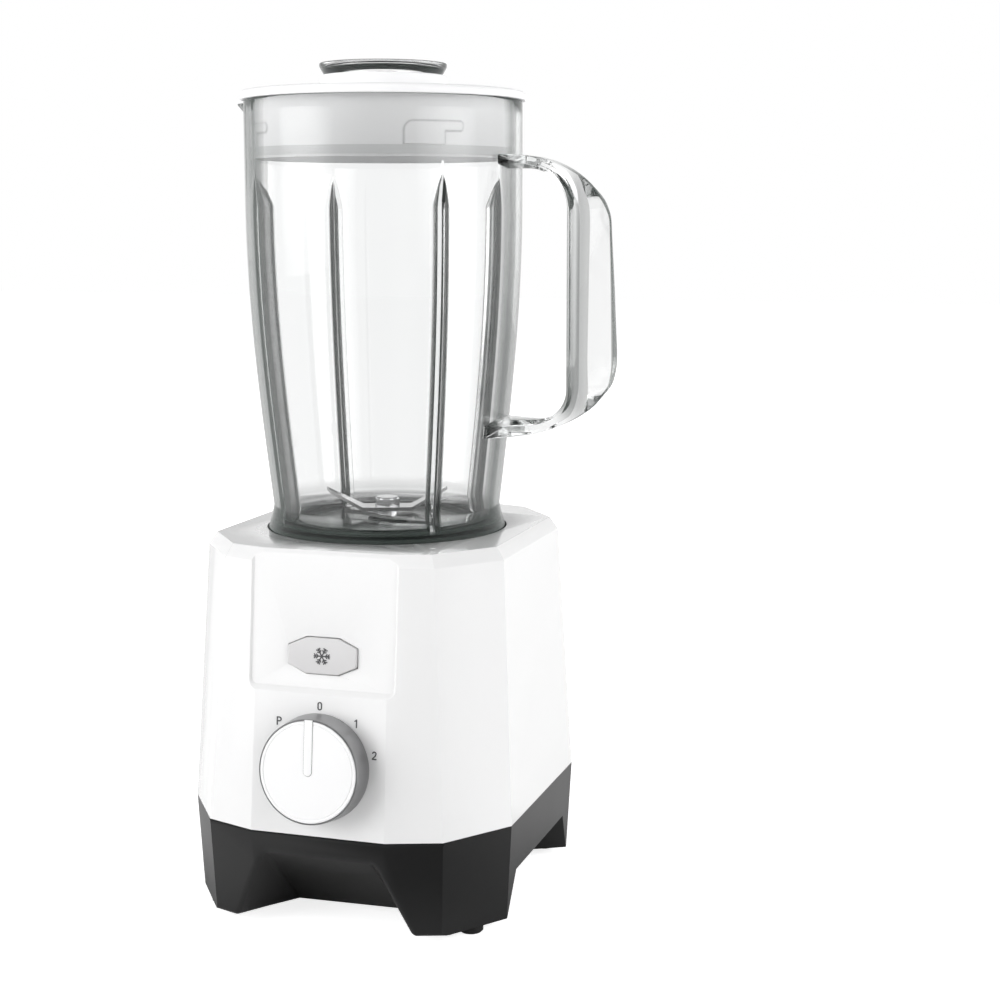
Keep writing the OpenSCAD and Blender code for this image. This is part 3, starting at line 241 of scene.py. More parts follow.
def mix_colours(tree, factor, first, second):
    """A colour that runs from the first to the second as the factor goes from 0 to 1."""
    return add_node(tree, "ShaderNodeMix", {"data_type": "RGBA"},
                    {0: factor, 6: first, 7: second}, result=2)


def ramp(tree, value, start, end):
    """Runs evenly from 0 where the value is start to 1 where it is end."""
    return add_node(tree, "ShaderNodeMapRange", {"clamp": True},
                    {"Value": value, "From Min": start, "From Max": end})


def object_coordinates(tree):
    return add_node(tree, "ShaderNodeTexCoord", result=3)


def noise(tree, scale, detail=2.0, stretch=(1.0, 1.0, 1.0)):
    """Noise over the object's own coordinates, about 0.5 on average. stretch squeezes it along
    each axis, so that it turns into marks along the others."""
    place = add_node(tree, "ShaderNodeMapping", {}, {0: object_coordinates(tree), 3: stretch})
    return add_node(tree, "ShaderNodeTexNoise", {},
                    {"Vector": place, "Scale": scale, "Detail": detail})


def one_axis(tree, vector, axis):
    """The x, y or z of a vector, as axis 0, 1 or 2."""
    return add_node(tree, "ShaderNodeSeparateXYZ", {}, {0: vector}, result=axis)


def shade_attribute(tree):
    return add_node(tree, "ShaderNodeAttribute", {"attribute_name": "shade"}, result=2)


# %% A material and what feeds it
def new_material(name, constants):
    """A material with one Principled shader, whose constant sockets are set here."""
    made = bpy.data.materials.new(name)
    made.use_nodes = True
    shader = made.node_tree.nodes["Principled BSDF"]
    for key, value in constants.items():
        shader.inputs[key].default_value = value
    return made, made.node_tree, shader


def feed(tree, shader, key, socket):
    tree.links.new(socket.output, shader.inputs[key])


def uneven(tree, shader, pattern, roughness, share):
    """Roughness that a pattern varies by a share of itself, and that stays the same on average."""
    feed(tree, shader, "Roughness",
         pattern * (share * roughness) + roughness * (1 - share / 2))


def bumpy(tree, shader, height, distance):
    """Lets a height pattern, in metres of relief, tilt the shading."""
    bump = add_node(tree, "ShaderNodeBump", {}, {"Height": height, "Distance": distance})
    feed(tree, shader, "Normal", bump)


# %% [markdown]
# ## Finishes: moulded plastic and rubber
# Moulded plastic is never quite even: the sheen of a gloss shell varies a little, and a dark
# textured shell has a fine grain. Painted textures could carry that, but noise needs no
# unwrapping and holds at any distance, so one function makes every such finish from its colour,
# its roughness and its grain.

# %% Moulded plastic and rubber
def moulded(name, colour, roughness, grain=0.0, grain_scale=900.0, coat=0.0):
    """Plastic with a slightly uneven colour and sheen, and a fine grain where asked."""
    made, tree, shader = new_material(name, {"IOR": 1.48, "Coat Weight": coat,
                                             "Coat Roughness": 0.04})
    cloud = noise(tree, 14.0)
    feed(tree, shader, "Base Color", mix_colours(tree, cloud, grey(colour[1] * 0.985), colour))
    uneven(tree, shader, cloud, roughness, 0.25)
    if grain:
        bumpy(tree, shader, noise(tree, grain_scale, 1.0), grain)
    return made


white_gloss = moulded("housing white", grey(0.885), 0.14, coat=0.8)
skirt_black = moulded("skirt black", (0.0085, 0.0085, 0.009, 1), 0.38, 2e-5, 1500.0)
rubber_black = moulded("rubber", grey(0.012), 0.62, 3e-5, 700.0)
inner_black = moulded("inner black", (0.025, 0.025, 0.026, 1), 0.45)
dial_white = moulded("dial white", (0.93, 0.93, 0.935, 1), 0.34, 4e-6, 2500.0)
button_grey = moulded("button grey", (0.68, 0.67, 0.675, 1), 0.30, 4e-6, 2500.0)
print_grey = moulded("print grey", (0.09, 0.09, 0.095, 1), 0.5)
holder_grey = moulded("holder grey", (0.07, 0.075, 0.072, 1), 0.35)
board_green = moulded("board green", (0.03, 0.17, 0.07, 1), 0.4)
gasket_grey = moulded("gasket grey", (0.64, 0.65, 0.65, 1), 0.45)
carbon = moulded("carbon", grey(0.02), 0.6, 5e-5, 600.0)
print("materials so far:", len(bpy.data.materials))

# %% [markdown]
# ## Finishes: the frosted lid
# The lid is white, but it isn't opaque: light soaks into its thin walls. Light scattered inside
# the plastic would show that at a high cost, so painted shade shows it instead: a colour that
# deepens down the plug. The raised lugs have a fine painted shadow line round them, which the
# piece's own attribute marks.

# %% Frosted lid
def frosted_lid(name, foot, top, roughness):
    """White plastic with painted shade: greyer towards the foot of the plug, and darker along the
    painted shadow lines that the shade attribute gives."""
    made, tree, shader = new_material(name, {"IOR": 1.48, "Coat Weight": 0.15,
                                             "Coat Roughness": 0.3})
    cloud = noise(tree, 20.0)
    height = one_axis(tree, object_coordinates(tree), 2)
    level = ramp(tree, height, foot * MM, top * MM)
    # Painted shade: the plug's colour is lighter at the top and greyer towards its foot.
    painted_plug_shade = mix_colours(tree, level, (0.82, 0.82, 0.825, 1), (0.95, 0.95, 0.955, 1))
    # The shade attribute darkens the painted shadow lines round the lugs.
    feed(tree, shader, "Base Color",
         mix_colours(tree, shade_attribute(tree), painted_plug_shade, (0.30, 0.30, 0.305, 1)))
    feed(tree, shader, "Roughness", cloud * 0.08 + roughness)
    return made


lid_white = frosted_lid("lid white", low_mm("lid")[2] - 2, high_mm("jug")[2] - 6, 0.45)
print("materials so far:", len(bpy.data.materials))

# %% [markdown]
# ## Finishes: metals
# The dial's sleeve is satin, the blades and their plate are polished, and the motor shows cast
# aluminium, sheet steel, copper and brass. All of them are one shader with full Metallic. The
# marks of rolling and turning run one way, so the noise is squeezed along one axis.


# %% Metals
def metal(name, colour, roughness, stretch=(1.0, 1.0, 1.0), scale=60.0, relief=0.0):
    """Metal whose gloss varies along fine marks; stretch sets which way the marks run."""
    made, tree, shader = new_material(name, {"Metallic": 1.0})
    marks = noise(tree, scale, 3.0, stretch)
    feed(tree, shader, "Base Color", mix_colours(tree, marks, grey(colour[1] * 0.9), colour))
    uneven(tree, shader, marks, roughness, 0.5)
    if relief:
        bumpy(tree, shader, marks, relief)
    return made


dial_metal = metal("dial metal", (0.42, 0.42, 0.43, 1), 0.34, scale=12.0)
screw_steel = metal("screw steel", grey(0.60), 0.3)
shaft_steel = metal("shaft steel", (0.66, 0.66, 0.67, 1), 0.2, (1, 1, 20), 80.0)
blade_steel = metal("blade steel", grey(0.46), 0.2, (1, 9, 1), 120.0)
# The plate's steel is far darker than plain steel, so that it looks dark through the jug: a painted dark
# reflection.
plate_steel = metal("plate steel", (0.15, 0.17, 0.16, 1), 0.12, (3, 3, 1), 25.0)
cast_aluminium = metal("motor aluminium", (0.60, 0.61, 0.62, 1), 0.42, relief=2e-5, scale=300.0)
brass = metal("brass", (0.70, 0.52, 0.24, 1), 0.28)
copper = metal("copper wire", (0.62, 0.28, 0.14, 1), 0.3, (1, 1, 25), 60.0, 4e-5)
laminations = metal("laminations", (0.22, 0.22, 0.23, 1), 0.4, (0.2, 0.2, 30), 60.0, 5e-5)
print("materials so far:", len(bpy.data.materials))

# %% [markdown]
# ## Finishes: clear plastic
# The jug, the handle and the cap are clear and thick. Glass alone would bend the light rightly,
# but the many fine dark lines of such a moulding come from edges that mirror the room again and
# again. Here the clear shader swallows a little light, and painted shade stands in for those
# lines: a dark glossy shader is mixed in where the wall is seen edge-on and where the piece's own
# attribute marks a painted line.


# %% Clear plastic
SLANTED, EDGE_ON = (0.50, 0.60), (0.80, 1.0)


def clear(name, density, rim, edge, bend=1.49):
    """Clear plastic with painted shade. rim is how much painted shade it gets where it is seen at a
    slant, edge is how much more at the very edge, and bend is its index of refraction."""
    made, tree, shader = new_material(name, {"IOR": bend, "Transmission Weight": 1.0})
    cloud = noise(tree, 9.0)
    feed(tree, shader, "Base Color",
         mix_colours(tree, cloud, (0.98, 0.985, 0.985, 1), grey(1.0)))
    uneven(tree, shader, cloud, 0.015, 1.0)
    # Painted shade: a dark glossy shader, mixed in where the wall is slanted or edge-on and along the shade
    # attribute's painted lines.
    dark = add_node(tree, "ShaderNodeBsdfPrincipled", {}, {
        "Base Color": (0.07, 0.085, 0.078, 1), "Roughness": 0.12, "IOR": 1.22})
    facing = add_node(tree, "ShaderNodeLayerWeight", {}, {"Blend": 0.5}, result=1)
    slanted, edge_on = ramp(tree, facing, *SLANTED), ramp(tree, facing, *EDGE_ON)
    clearness = (1 - slanted * rim) * (1 - edge_on * edge) * (1 - shade_attribute(tree))
    both = add_node(tree, "ShaderNodeMixShader", {}, {
        0: 1 - clearness, 1: Socket(tree, shader.outputs[0]), 2: dark})
    absorb = add_node(tree, "ShaderNodeVolumeAbsorption", {}, {
        "Color": (0.52, 0.55, 0.54, 1), "Density": density})
    end = tree.nodes["Material Output"]
    tree.links.new(both.output, end.inputs["Surface"])
    tree.links.new(absorb.output, end.inputs["Volume"])
    return made


jug_clear = clear("jug clear", 14.0, 0.60, 0.5)
handle_clear = clear("handle clear", 6.0, 0.12, 0.3, bend=1.3)
cap_clear = clear("cap clear", 6.0, 0.35, 0.7)
print("materials so far:", len(bpy.data.materials))

# %% Finishes for the pieces that stay as solids
FINISHES = {
    "housing_white": white_gloss, "skirt_black": skirt_black, "rubber": rubber_black,
    "screw_steel": screw_steel, "print_grey": print_grey, "motor_aluminium": cast_aluminium,
    "laminations": laminations, "copper": copper, "brass": brass, "carbon": carbon,
    "inner_black": inner_black, "board_green": board_green, "shaft_steel": shaft_steel,
    "dial_white": dial_white, "dial_metal": dial_metal, "button_grey": button_grey,
    "jug_clear": jug_clear, "plate_polished": plate_steel, "blade_steel": blade_steel,
    "holder_grey": holder_grey, "lid_white": lid_white, "gasket_grey": gasket_grey,
    "cap_clear": cap_clear,
}
for part in frame["record"]["subparts"]:
    mesh = nodes[part["node"]].data
    mesh.materials.clear()
    mesh.materials.append(FINISHES[part["material_slot"]])
print("finishes:", len(FINISHES))

# %% [markdown]
# ## The shells of the base
# The housing and the skirt are flat facets with softly rounded edges, and it is the edges that
# catch the light. Their solids already have the right facets, so a copy is merged, its flat
# triangles are joined, and a Bevel modifier rounds every crease.


# %% A rounded copy of a solid
CREASE = math.radians(14)
SOLID_POINT = 5e-6


def rounded_copy(name, node, body, finish, width, segments=3, share=None):
    """A merged copy of a solid, with its creases rounded by a Bevel modifier. share gives how
    much of the rounding an edge gets, from its two ends in millimetres."""
    mesh = nodes[node].data.copy()
    mesh.name = name
    work = bmesh.new()
    work.from_mesh(mesh)
    bmesh.ops.remove_doubles(work, verts=work.verts, dist=SOLID_POINT)
    bmesh.ops.recalc_face_normals(work, faces=work.faces)
    bmesh.ops.dissolve_limit(work, angle_limit=math.radians(0.4), verts=work.verts,
                             edges=work.edges)
    for face in work.faces:
        face.smooth = True
    weight = work.edges.layers.float.new("bevel_weight_edge")
    for edge in work.edges:
        if len(edge.link_faces) == 2 and edge.calc_face_angle() > CREASE:
            ends = [np.array(vertex.co) / MM for vertex in edge.verts]
            edge[weight] = share(*ends) if share else 1.0
            edge.smooth = edge[weight] > 0
    work.to_mesh(mesh)
    work.free()
    mesh.materials.clear()
    mesh.materials.append(finish)
    piece = bpy.data.objects.new(name, mesh)
    scene.collection.objects.link(piece)
    bevel = piece.modifiers.new("rounded edges", "BEVEL")
    bevel.width = width
    bevel.segments = segments
    bevel.limit_method = "WEIGHT"
    bevel.use_clamp_overlap = share is None
    bevel.harden_normals = True
    bevel.miter_outer = "MITER_ARC"
    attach(piece, body)
    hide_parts(node)
    print(name, "faces before the bevel:", len(mesh.polygons))


# %% The two shells
SKIRT_FRONT, SKIRT_TOP = high_mm("skirt")[1] - 22, high_mm("skirt")[2]


def skirt_share(start, end):
    """1 for the long slanted edges of the front and back arches, which are rounded, and 0 for the
    crisp corners of the facets, the side arches, the inside and the seam."""
    middle, way = (start + end) / 2, end - start
    length = np.linalg.norm(way)
    on_arch = abs(middle[1]) > SKIRT_FRONT and abs(middle[0]) < 52 and middle[2] < SKIRT_TOP - 3
    slanted = length > 7 and abs(way[2]) < 0.93 * length
    return 1.0 if on_arch and slanted else 0.0


rounded_copy("housing_shell", "housing", "base", white_gloss, 1.1 * MM)
rounded_copy("skirt_shell", "skirt", "base", skirt_black, 2.2 * MM, 4, skirt_share)

# %% [markdown]
# ## The jug
# The jug is one clear moulding: a wall that swells from a waist to a straight rim, four upright
# ribs inside, a thick foot that drops into the base, and a pouring lip. Turned walls with ribs
# joined on would leave seams, and seams show in clear plastic. So one grid makes all of it: its
# rows follow the wall's profile out, over the rim and back in, its columns go round, and the ribs
# and the lip only push points in or out.

# %% Sizes of the jug
RIM_Z, RIM_R = high_mm("jug")[2], high_mm("jug")[1]
SEAT_Z = low_mm("jug")[2]
TOP_Z = high_mm("housing")[2]
WAIST_R, FOOT_R, WALL = 54.2, 56.9, 2.8
WAIST_Z = TOP_Z + 11
SWELL_H = 143
FLOOR_Z, FLOOR_ROUND = low_mm("blade_plate")[2], 5.5
UNDER_Z, UNDER_R = high_mm("holder_seal")[2], 53.7
HOLE_R = 30.0
RIB_TOP, RIB_POINT = RIM_Z - 35.5, 13
RIB_DEPTH, RIB_HALF, RIB_ROUND = 7.5, 2.6, 3.2
RIB_ANGLES = np.radians([45, 135, 225, 315])
LIP_OUT, LIP_HALF, LIP_H = 10.4, 11.5, 15.0
# Painted shade on the jug's foot: how dark its fine rings get, and their spacing in mm.
FOOT_PAINTED_SHADE, FOOT_RING = 0.7, 3.4
print("the jug stands from", SEAT_Z, "to", RIM_Z, "mm")


def wall_radius(z):
    """Outside of the jug. From the waist up the radius grows as a sine of the height, to upright
    at the rim. From the waist down it flares to the foot, a little faster the lower it is."""
    u = np.clip((z - WAIST_Z) / SWELL_H, 0, 1)
    swell = WAIST_R + (RIM_R - WAIST_R) * np.sin(u * np.pi / 2)
    flare = np.clip((WAIST_Z - z) / (WAIST_Z - TOP_Z), 0, 1)
    return swell + (FOOT_R - WAIST_R) * flare ** 1.25


# %% The jug's profile
def jug_profile():
    """Closed line of (radius, height), with a mark that is 1 on the inner wall. The inner wall
    ends in a quarter circle at the floor."""
    outside = np.concatenate([np.linspace(SEAT_Z, TOP_Z, 8)[:-1],
                              np.linspace(TOP_Z, WAIST_Z, 26)[:-1],
                              np.linspace(WAIST_Z, RIM_Z - 1.2, 34)])
    inside = np.concatenate([np.linspace(RIM_Z - 1.2, RIB_TOP + 1, 6)[:-1],
                             np.linspace(RIB_TOP + 1, RIB_TOP - 16, 14)[:-1],
                             np.linspace(RIB_TOP - 16, FLOOR_Z + FLOOR_ROUND, 30)])
    outer = np.stack([wall_radius(outside), outside], axis=1)
    outer[0, 0] -= 0.6
    outer = np.insert(outer, 1, [outer[1, 0], SEAT_Z + 0.6], axis=0)
    rim = [[RIM_R - 0.25, RIM_Z - 0.35], [RIM_R - 1.0, RIM_Z], [RIM_R - WALL + 1.0, RIM_Z],
           [RIM_R - WALL + 0.25, RIM_Z - 0.35]]
    inner = np.stack([wall_radius(inside) - WALL, inside], axis=1)
    turn = np.linspace(0, np.pi / 2, 8)[1:]
    fillet = np.stack([inner[-1, 0] - FLOOR_ROUND * (1 - np.cos(turn)),
                       FLOOR_Z + FLOOR_ROUND * (1 - np.sin(turn))], axis=1)
    under = rounded([[HOLE_R + 10, FLOOR_Z], [HOLE_R, FLOOR_Z], [HOLE_R, UNDER_Z],
                     [UNDER_R, UNDER_Z], [UNDER_R, SEAT_Z], [UNDER_R + 1.3, SEAT_Z]],
                    [0, 0.5, 0.5, 1.5, 0.6, 0], 4)
    line = np.concatenate([outer, rim, inner, fillet, under])
    mark = np.concatenate([np.zeros(len(outer) + 2), np.ones(2 + len(inner) + len(fillet)),
                           np.zeros(len(under))])
    return line, mark


# %% Columns across the ribs and between them
EVEN_COLUMNS, LIP_COLUMNS = 144, 27
RIB_ROOM, LIP_ROOM, LIP_REACH = 0.15, 0.28, 0.26
OFF_RIB = 9


def rib_columns():
    """Places across a rib, as shares of its half width, evenly spaced along its rounded section,
    and a few beyond its edge; and the painted shade at each of them, standing in for the dark
    lines that the rib's bends show: a painted line at the foot of the flank, a painted line at
    the crest's edge, grey between and clear on the crest."""
    turn = np.linspace(0, 90, 13)
    beyond = [1.15, 1.4, 1.8, 2.4]
    share = np.append(np.sin(np.radians(turn)) ** (2 / RIB_ROUND), beyond)
    along = np.append(turn / 90, beyond)
    dark = np.interp(along, [0, 0.36, 0.44, 0.56, 0.66, 0.84, 0.92, 1.1, 1.25],
                     [0.0, 0.0, 0.85, 0.85, 0.3, 0.3, 0.95, 0.9, 0.0])
    return np.append(-share[:0:-1], share), np.append(dark[:0:-1], dark)


def jug_columns(half):
    """The angle of every column, for ribs of a half width that changes with the row; then how far
    across a rib each column lies, where 1 is the rib's edge, and its painted shade. The plain
    columns are evenly spaced, leave room for the ribs and are closer at the lip."""
    share, dark = rib_columns()
    even = np.linspace(0, 2 * np.pi, EVEN_COLUMNS, endpoint=False)
    beside_rib = np.abs(even % (np.pi / 2) - np.pi / 4) > RIB_ROOM
    even = even[beside_rib & (np.abs(even - np.pi) > LIP_ROOM)]
    at_lip = np.pi + np.linspace(-LIP_REACH, LIP_REACH, LIP_COLUMNS)
    plain = np.sort(np.append(even, at_lip))
    first, *others = np.split(plain, np.searchsorted(plain, RIB_ANGLES))
    angle, across, flank = [first + 0 * half], [first * 0 + OFF_RIB], [first * 0]
    for middle, group in zip(RIB_ANGLES, others):
        angle += [middle + share * half, group + 0 * half]
        across += [np.abs(share), group * 0 + OFF_RIB]
        flank += [dark, group * 0]
    return np.concatenate(angle, axis=1), np.concatenate(across), np.concatenate(flank)


# %% The jug's surface
def jug_points():
    """The profile goes round. The inner wall is pushed in over a rib by a depth that dies out to
    its sides as (1 - a^3.2)^(1/3.2), a round with a flat crest, and to a point at its top. The
    lip pushes both walls out at the rim. Painted shade marks the ribs' lines and lays fine dark
    rings on the foot, standing in for the lines that the clear plastic's bends show."""
    line, mark = jug_profile()
    r, z, inner = line[:, 0, None], line[:, 1, None], mark[:, None]
    tip = np.clip((RIB_TOP - z) / RIB_POINT, 0, 1)
    half = RIB_HALF * (0.2 + 0.8 * tip ** 0.7) / wall_radius(z)
    angle, across, flank = jug_columns(half)
    bump = (1 - np.clip(across, 0, 1) ** RIB_ROUND) ** (1 / RIB_ROUND)
    depth = RIB_DEPTH * tip ** 0.75 * bump * inner * np.clip((z - FLOOR_Z) / 4, 0, 1)
    beside = np.abs(angle - np.pi) * r / LIP_HALF
    near_rim = np.clip((z - RIM_Z + LIP_H) / LIP_H, 0, 1)
    lip = np.clip(1 - beside, 0, 1) ** 1.15 * near_rim ** 1.5
    radius = r - depth + np.where(r > WAIST_R - 6, LIP_OUT * lip, 0)
    # Painted shade: the ribs' dark lines, on the inner wall only and fading in below the rib's top.
    flank = flank * np.minimum(4 * tip, 1) * inner
    # Painted shade: fine dark rings on the foot, stronger lower down.
    low = smooth_step(-z, -(WAIST_Z + 3), -(FLOOR_Z + 1))
    rings = FOOT_PAINTED_SHADE * low * (0.15 + 0.85 * np.cos(z * np.pi / FOOT_RING) ** 2)
    return swept(radius, angle, z), 1 - (1 - flank) * (1 - rings)


points, shade = jug_points()
jug = add_piece("jug_wall", points, grid_faces(*points.shape[:2], True, True), "jug_unit",
                jug_clear, 50, shade)
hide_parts("jug")

# %% [markdown]
# ## The handle
# The handle leaves the jug as a flat flared arm, narrows, turns down into a deep grip with a
# knife-edged back, and comes back in below. A curve with a bevel would keep one section all the
# way, so the section here is a ring of eight rounded corners whose width and depth change along
# the path.

# %% The handle's two arms
ARM_TOP, ARM_FOOT = high_mm("jug_handle")[2], low_mm("jug_handle")[2]
GRIP_X, BACK_X, ROOT_X = 90.2, high_mm("jug_handle")[0], RIM_R - 2.4
GRIP_HALF, RIDGE_HALF = 8.0, 1.0


def fall(radius, distance):
    """Drop of an arc of that radius, at a distance past its top."""
    return radius - np.sqrt(radius ** 2 - np.clip(distance, 0, radius) ** 2)


def arm_path(u, end_x, bend_x, back_r, finger_r, thick):
    """Finger side and back of an arm as (x, drop) pairs, u running from the jug to the grip."""
    finger_x = ROOT_X + (GRIP_X - ROOT_X) * np.sin(u * np.pi / 2)
    back_x = ROOT_X + (end_x - ROOT_X) * u
    finger = np.stack([finger_x, thick + fall(finger_r, finger_x - GRIP_X + finger_r)], axis=1)
    return finger, np.stack([back_x, fall(back_r, back_x - bend_x)], axis=1)


def arm_widths(u, root):
    """Half widths at the finger side and at the back: flared at the jug, a ridge at the grip."""
    flare = GRIP_HALF + (root - GRIP_HALF) * np.clip(1 - u / 0.5, 0, 1) ** 2
    blend = np.clip((u - 0.35) / 0.65, 0, 1)
    return flare, flare * (1 - blend) + RIDGE_HALF * blend


# %% The handle's line
RINGS = 120


def smoothed(lines, count):
    """Puts evenly spaced rings along the back, then averages each with its neighbours."""
    step = np.linalg.norm(np.diff(lines[:, 2:4], axis=0), axis=1)
    length = np.append(0, np.cumsum(step))
    even = np.linspace(0, length[-1], count)
    lines = np.stack([np.interp(even, length, column) for column in lines.T], axis=1)
    for _ in range(3):
        lines[1:-1] = (lines[:-2] + 2 * lines[1:-1] + lines[2:]) / 4
    return lines


def handle_lines():
    """Rows of finger side (x, z), back (x, z) and the half widths there, from the upper root to
    the lower one."""
    u = np.linspace(0, 1, 26)
    top_finger, top_back = arm_path(u, GRIP_X + 10, RIM_R + 2, 50, 18, 6)
    low_finger, low_back = arm_path(u, GRIP_X + 12.6, RIM_R - 3, 64, 14, 8)
    wide, narrow = arm_widths(u, 19.5)
    upper = np.column_stack([top_finger[:, 0], ARM_TOP - top_finger[:, 1], top_back[:, 0],
                             ARM_TOP - top_back[:, 1], wide, narrow])
    lower = np.column_stack([low_finger[:, 0], ARM_FOOT + low_finger[:, 1], low_back[:, 0],
                             ARM_FOOT + low_back[:, 1], wide, narrow])[::-1]
    head, foot = ARM_TOP - 28, ARM_FOOT + 34.5
    grip = np.array([[GRIP_X, head + 2.5, BACK_X - 5.8, head + 8, GRIP_HALF, 2.8],
                     [GRIP_X, head - 1.5, BACK_X - 2.4, head + 0.5, GRIP_HALF, 0.9],
                     [GRIP_X, head - 6, BACK_X - 2.2, head - 6, GRIP_HALF, 1.1],
                     [GRIP_X, (head + foot) / 2, BACK_X - 1, (head + foot) / 2, GRIP_HALF, 2.9],
                     [GRIP_X, foot + 4, BACK_X, foot + 4, GRIP_HALF, 4.6],
                     [GRIP_X, foot - 2, BACK_X, foot - 2, GRIP_HALF, 4.4],
                     [GRIP_X, foot - 9, BACK_X - 1.6, foot - 10, GRIP_HALF, 3.0]])
    return smoothed(np.concatenate([upper, grip, lower]), RINGS)


# %% The handle's sections
EDGE_ROUND, STEP_IN, STEP_OUT = 0.8, 2.2, 6.5
CORNER_POINTS = 5


def handle_sections(depth, wide, narrow):
    """Each ring runs from the finger side to the back and round again, as (depth, side) pairs:
    eight corners at a share of the depth and a half width, each rounded as
    (1-t)(1-t) start + 2t(1-t) corner + tt end."""
    step_in = np.minimum(STEP_IN, 0.3 * depth)
    step_out = np.minimum(STEP_OUT, 0.72 * depth)
    along = np.concatenate([0 * depth, step_in, step_out, depth], axis=1)
    side = np.concatenate([0.55 * wide, wide, wide, narrow], axis=1)
    corner = np.stack([np.concatenate([along, along[:, ::-1]], axis=1),
                       np.concatenate([side, -side[:, ::-1]], axis=1)], axis=-1)
    t = np.linspace(0, 1, CORNER_POINTS)[:, None]
    parts = []
    for way in (1, -1):
        step = np.roll(corner, way, axis=1) - corner
        length = np.linalg.norm(step, axis=2, keepdims=True)
        reach = np.minimum(EDGE_ROUND, 0.45 * length)
        parts.append((corner + step / length * reach)[:, :, None])
    section = (1 - t) ** 2 * parts[0] + 2 * t * (1 - t) * corner[:, :, None] + t ** 2 * parts[1]
    return section.reshape(len(depth), -1, 2)


# %% The handle's surface
WALL_BLEND, WALL_GAP = 14, 0.05
GRIP_START = GRIP_X - 6
# Painted shade for the grip, one value a section corner: grey columns and a dark back line that stand in for what
# the thick clear grip shows. The listed columns stay clear.
CORNER_PAINTED_SHADE = [0.55, 0.45, 0.38, 0.6, 0.6, 0.38, 0.45, 0.55]
CLEAR_COLUMNS = [14, 15, 24, 25]


def handle_points():
    """The rings stand across the handle's line. Near the jug a ring is moved out onto the jug's
    wall. The upright grip gets painted shade from corner to corner."""
    lines = handle_lines()
    finger, back = lines[:, None, 0:2], lines[:, None, 2:4]
    depth = np.linalg.norm(back - finger, axis=2)
    section = handle_sections(depth, lines[:, 4, None], lines[:, 5, None])
    middle = finger + (back - finger) * (section[:, :, 0:1] / depth[:, :, None])
    x, y, z = middle[:, :, 0], section[:, :, 1], middle[:, :, 1]
    on_wall = np.sqrt((wall_radius(z) + WALL_GAP) ** 2 - y ** 2)
    x = x + (on_wall - ROOT_X) * np.clip(1 - (x - ROOT_X) / WALL_BLEND, 0, 1)
    column = np.repeat(CORNER_PAINTED_SHADE, CORNER_POINTS)
    column[CLEAR_COLUMNS] = 0.0
    upright = smooth_step(finger[:, :, 0], GRIP_START, GRIP_X)
    return np.stack([x, y, z], axis=-1), upright * column


def closed_tube(points):
    """Points and faces of a tube whose ends are closed by fans round a middle point."""
    rows, columns = points.shape[:2]
    middles = np.stack([points[0].mean(axis=0), points[-1].mean(axis=0)])
    first, last = rows * columns, rows * columns + 1
    j = np.arange(columns)
    k = (j + 1) % columns
    end = (rows - 1) * columns
    fan_a = np.stack([j, k, 0 * j + first], axis=1)
    fan_b = np.stack([end + k, end + j, 0 * j + last], axis=1)
    faces = [*grid_faces(rows, columns, False, True), *fan_a, *fan_b]
    return np.concatenate([points.reshape(-1, 3), middles]), faces


points, shade = handle_points()
points, faces = closed_tube(points)
shade = np.append(shade.ravel(), [0.0, 0.0])
handle = add_piece("handle_grip", points, faces, "jug_unit", handle_clear, 30, shade)
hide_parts("jug_handle")

# %% [markdown]
# ## The lid and its cap
# The lid is a disc with a deep plug that hangs inside the jug, and a collar round its filler
# hole. Four low bayonet lugs stand on the plug: a turn of the lid locks them under the rim. The
# lid is a turned shape, and a height worked out at each point of the plug raises the lugs, so
# they need no separate pieces. The filler cap is a clear cup with a flared rim, and it is turned
# too: the bends of its rim make the dark lines.

# %% Sizes of the lid
LID_R, LID_TOP = high_mm("lid")[1], RIM_Z + 4.2
COLLAR_R, COLLAR_TOP = 29.4, high_mm("lid")[2]
BORE_R, PLUG_Z = 26.4, low_mm("lid")[2]
PLUG_R = RIM_R - WALL - 0.8
SEAL_Z, SEAL_TOP = low_mm("lid_gasket")[2], high_mm("lid_gasket")[2]
LUG_H, LUG_TURN = 0.45, -48
# Painted shadow line round the lugs: how dark it gets and its width in mm; then the width of the lugs' rounded
# edge in mm.
LUG_PAINTED_SHADE, LUG_LINE, LUG_EDGE = 0.55, 0.42, 0.35
LUG_BAR = ((3, 13.2), (11, 2.2), 1.9)
LUG_LEG = ((-4.6, 6.0), (9.4, 9.4), 4.4)
PLUG_T, BORE_Z = 2.4, RIM_Z - 8
LID_AROUND = 800


# %% The bayonet lugs
def box_distance(u, v, middle, half, radius):
    """Distance to a rectangle with rounded corners, negative inside it."""
    a = np.abs(u - middle[0]) - half[0] + radius
    b = np.abs(v - middle[1]) - half[1] + radius
    outside = np.hypot(np.maximum(a, 0), np.maximum(b, 0))
    return outside + np.minimum(np.maximum(a, b), 0) - radius


def lug_height(angle, z):
    """One lug is a bar with a leg at its left end, repeated at each quarter turn. It also gives
    a painted shadow line, high along the lug's outline."""
    quarter = (np.degrees(angle) - LUG_TURN + 45) % 90 - 45
    u, v = np.radians(quarter) * PLUG_R, z - PLUG_Z
    edge = np.minimum(box_distance(u, v, *LUG_BAR), box_distance(u, v, *LUG_LEG))
    height = LUG_H * smooth_step(-edge, -LUG_EDGE, LUG_EDGE)
    return height, LUG_PAINTED_SHADE * np.exp(-(edge / LUG_LINE) ** 2)


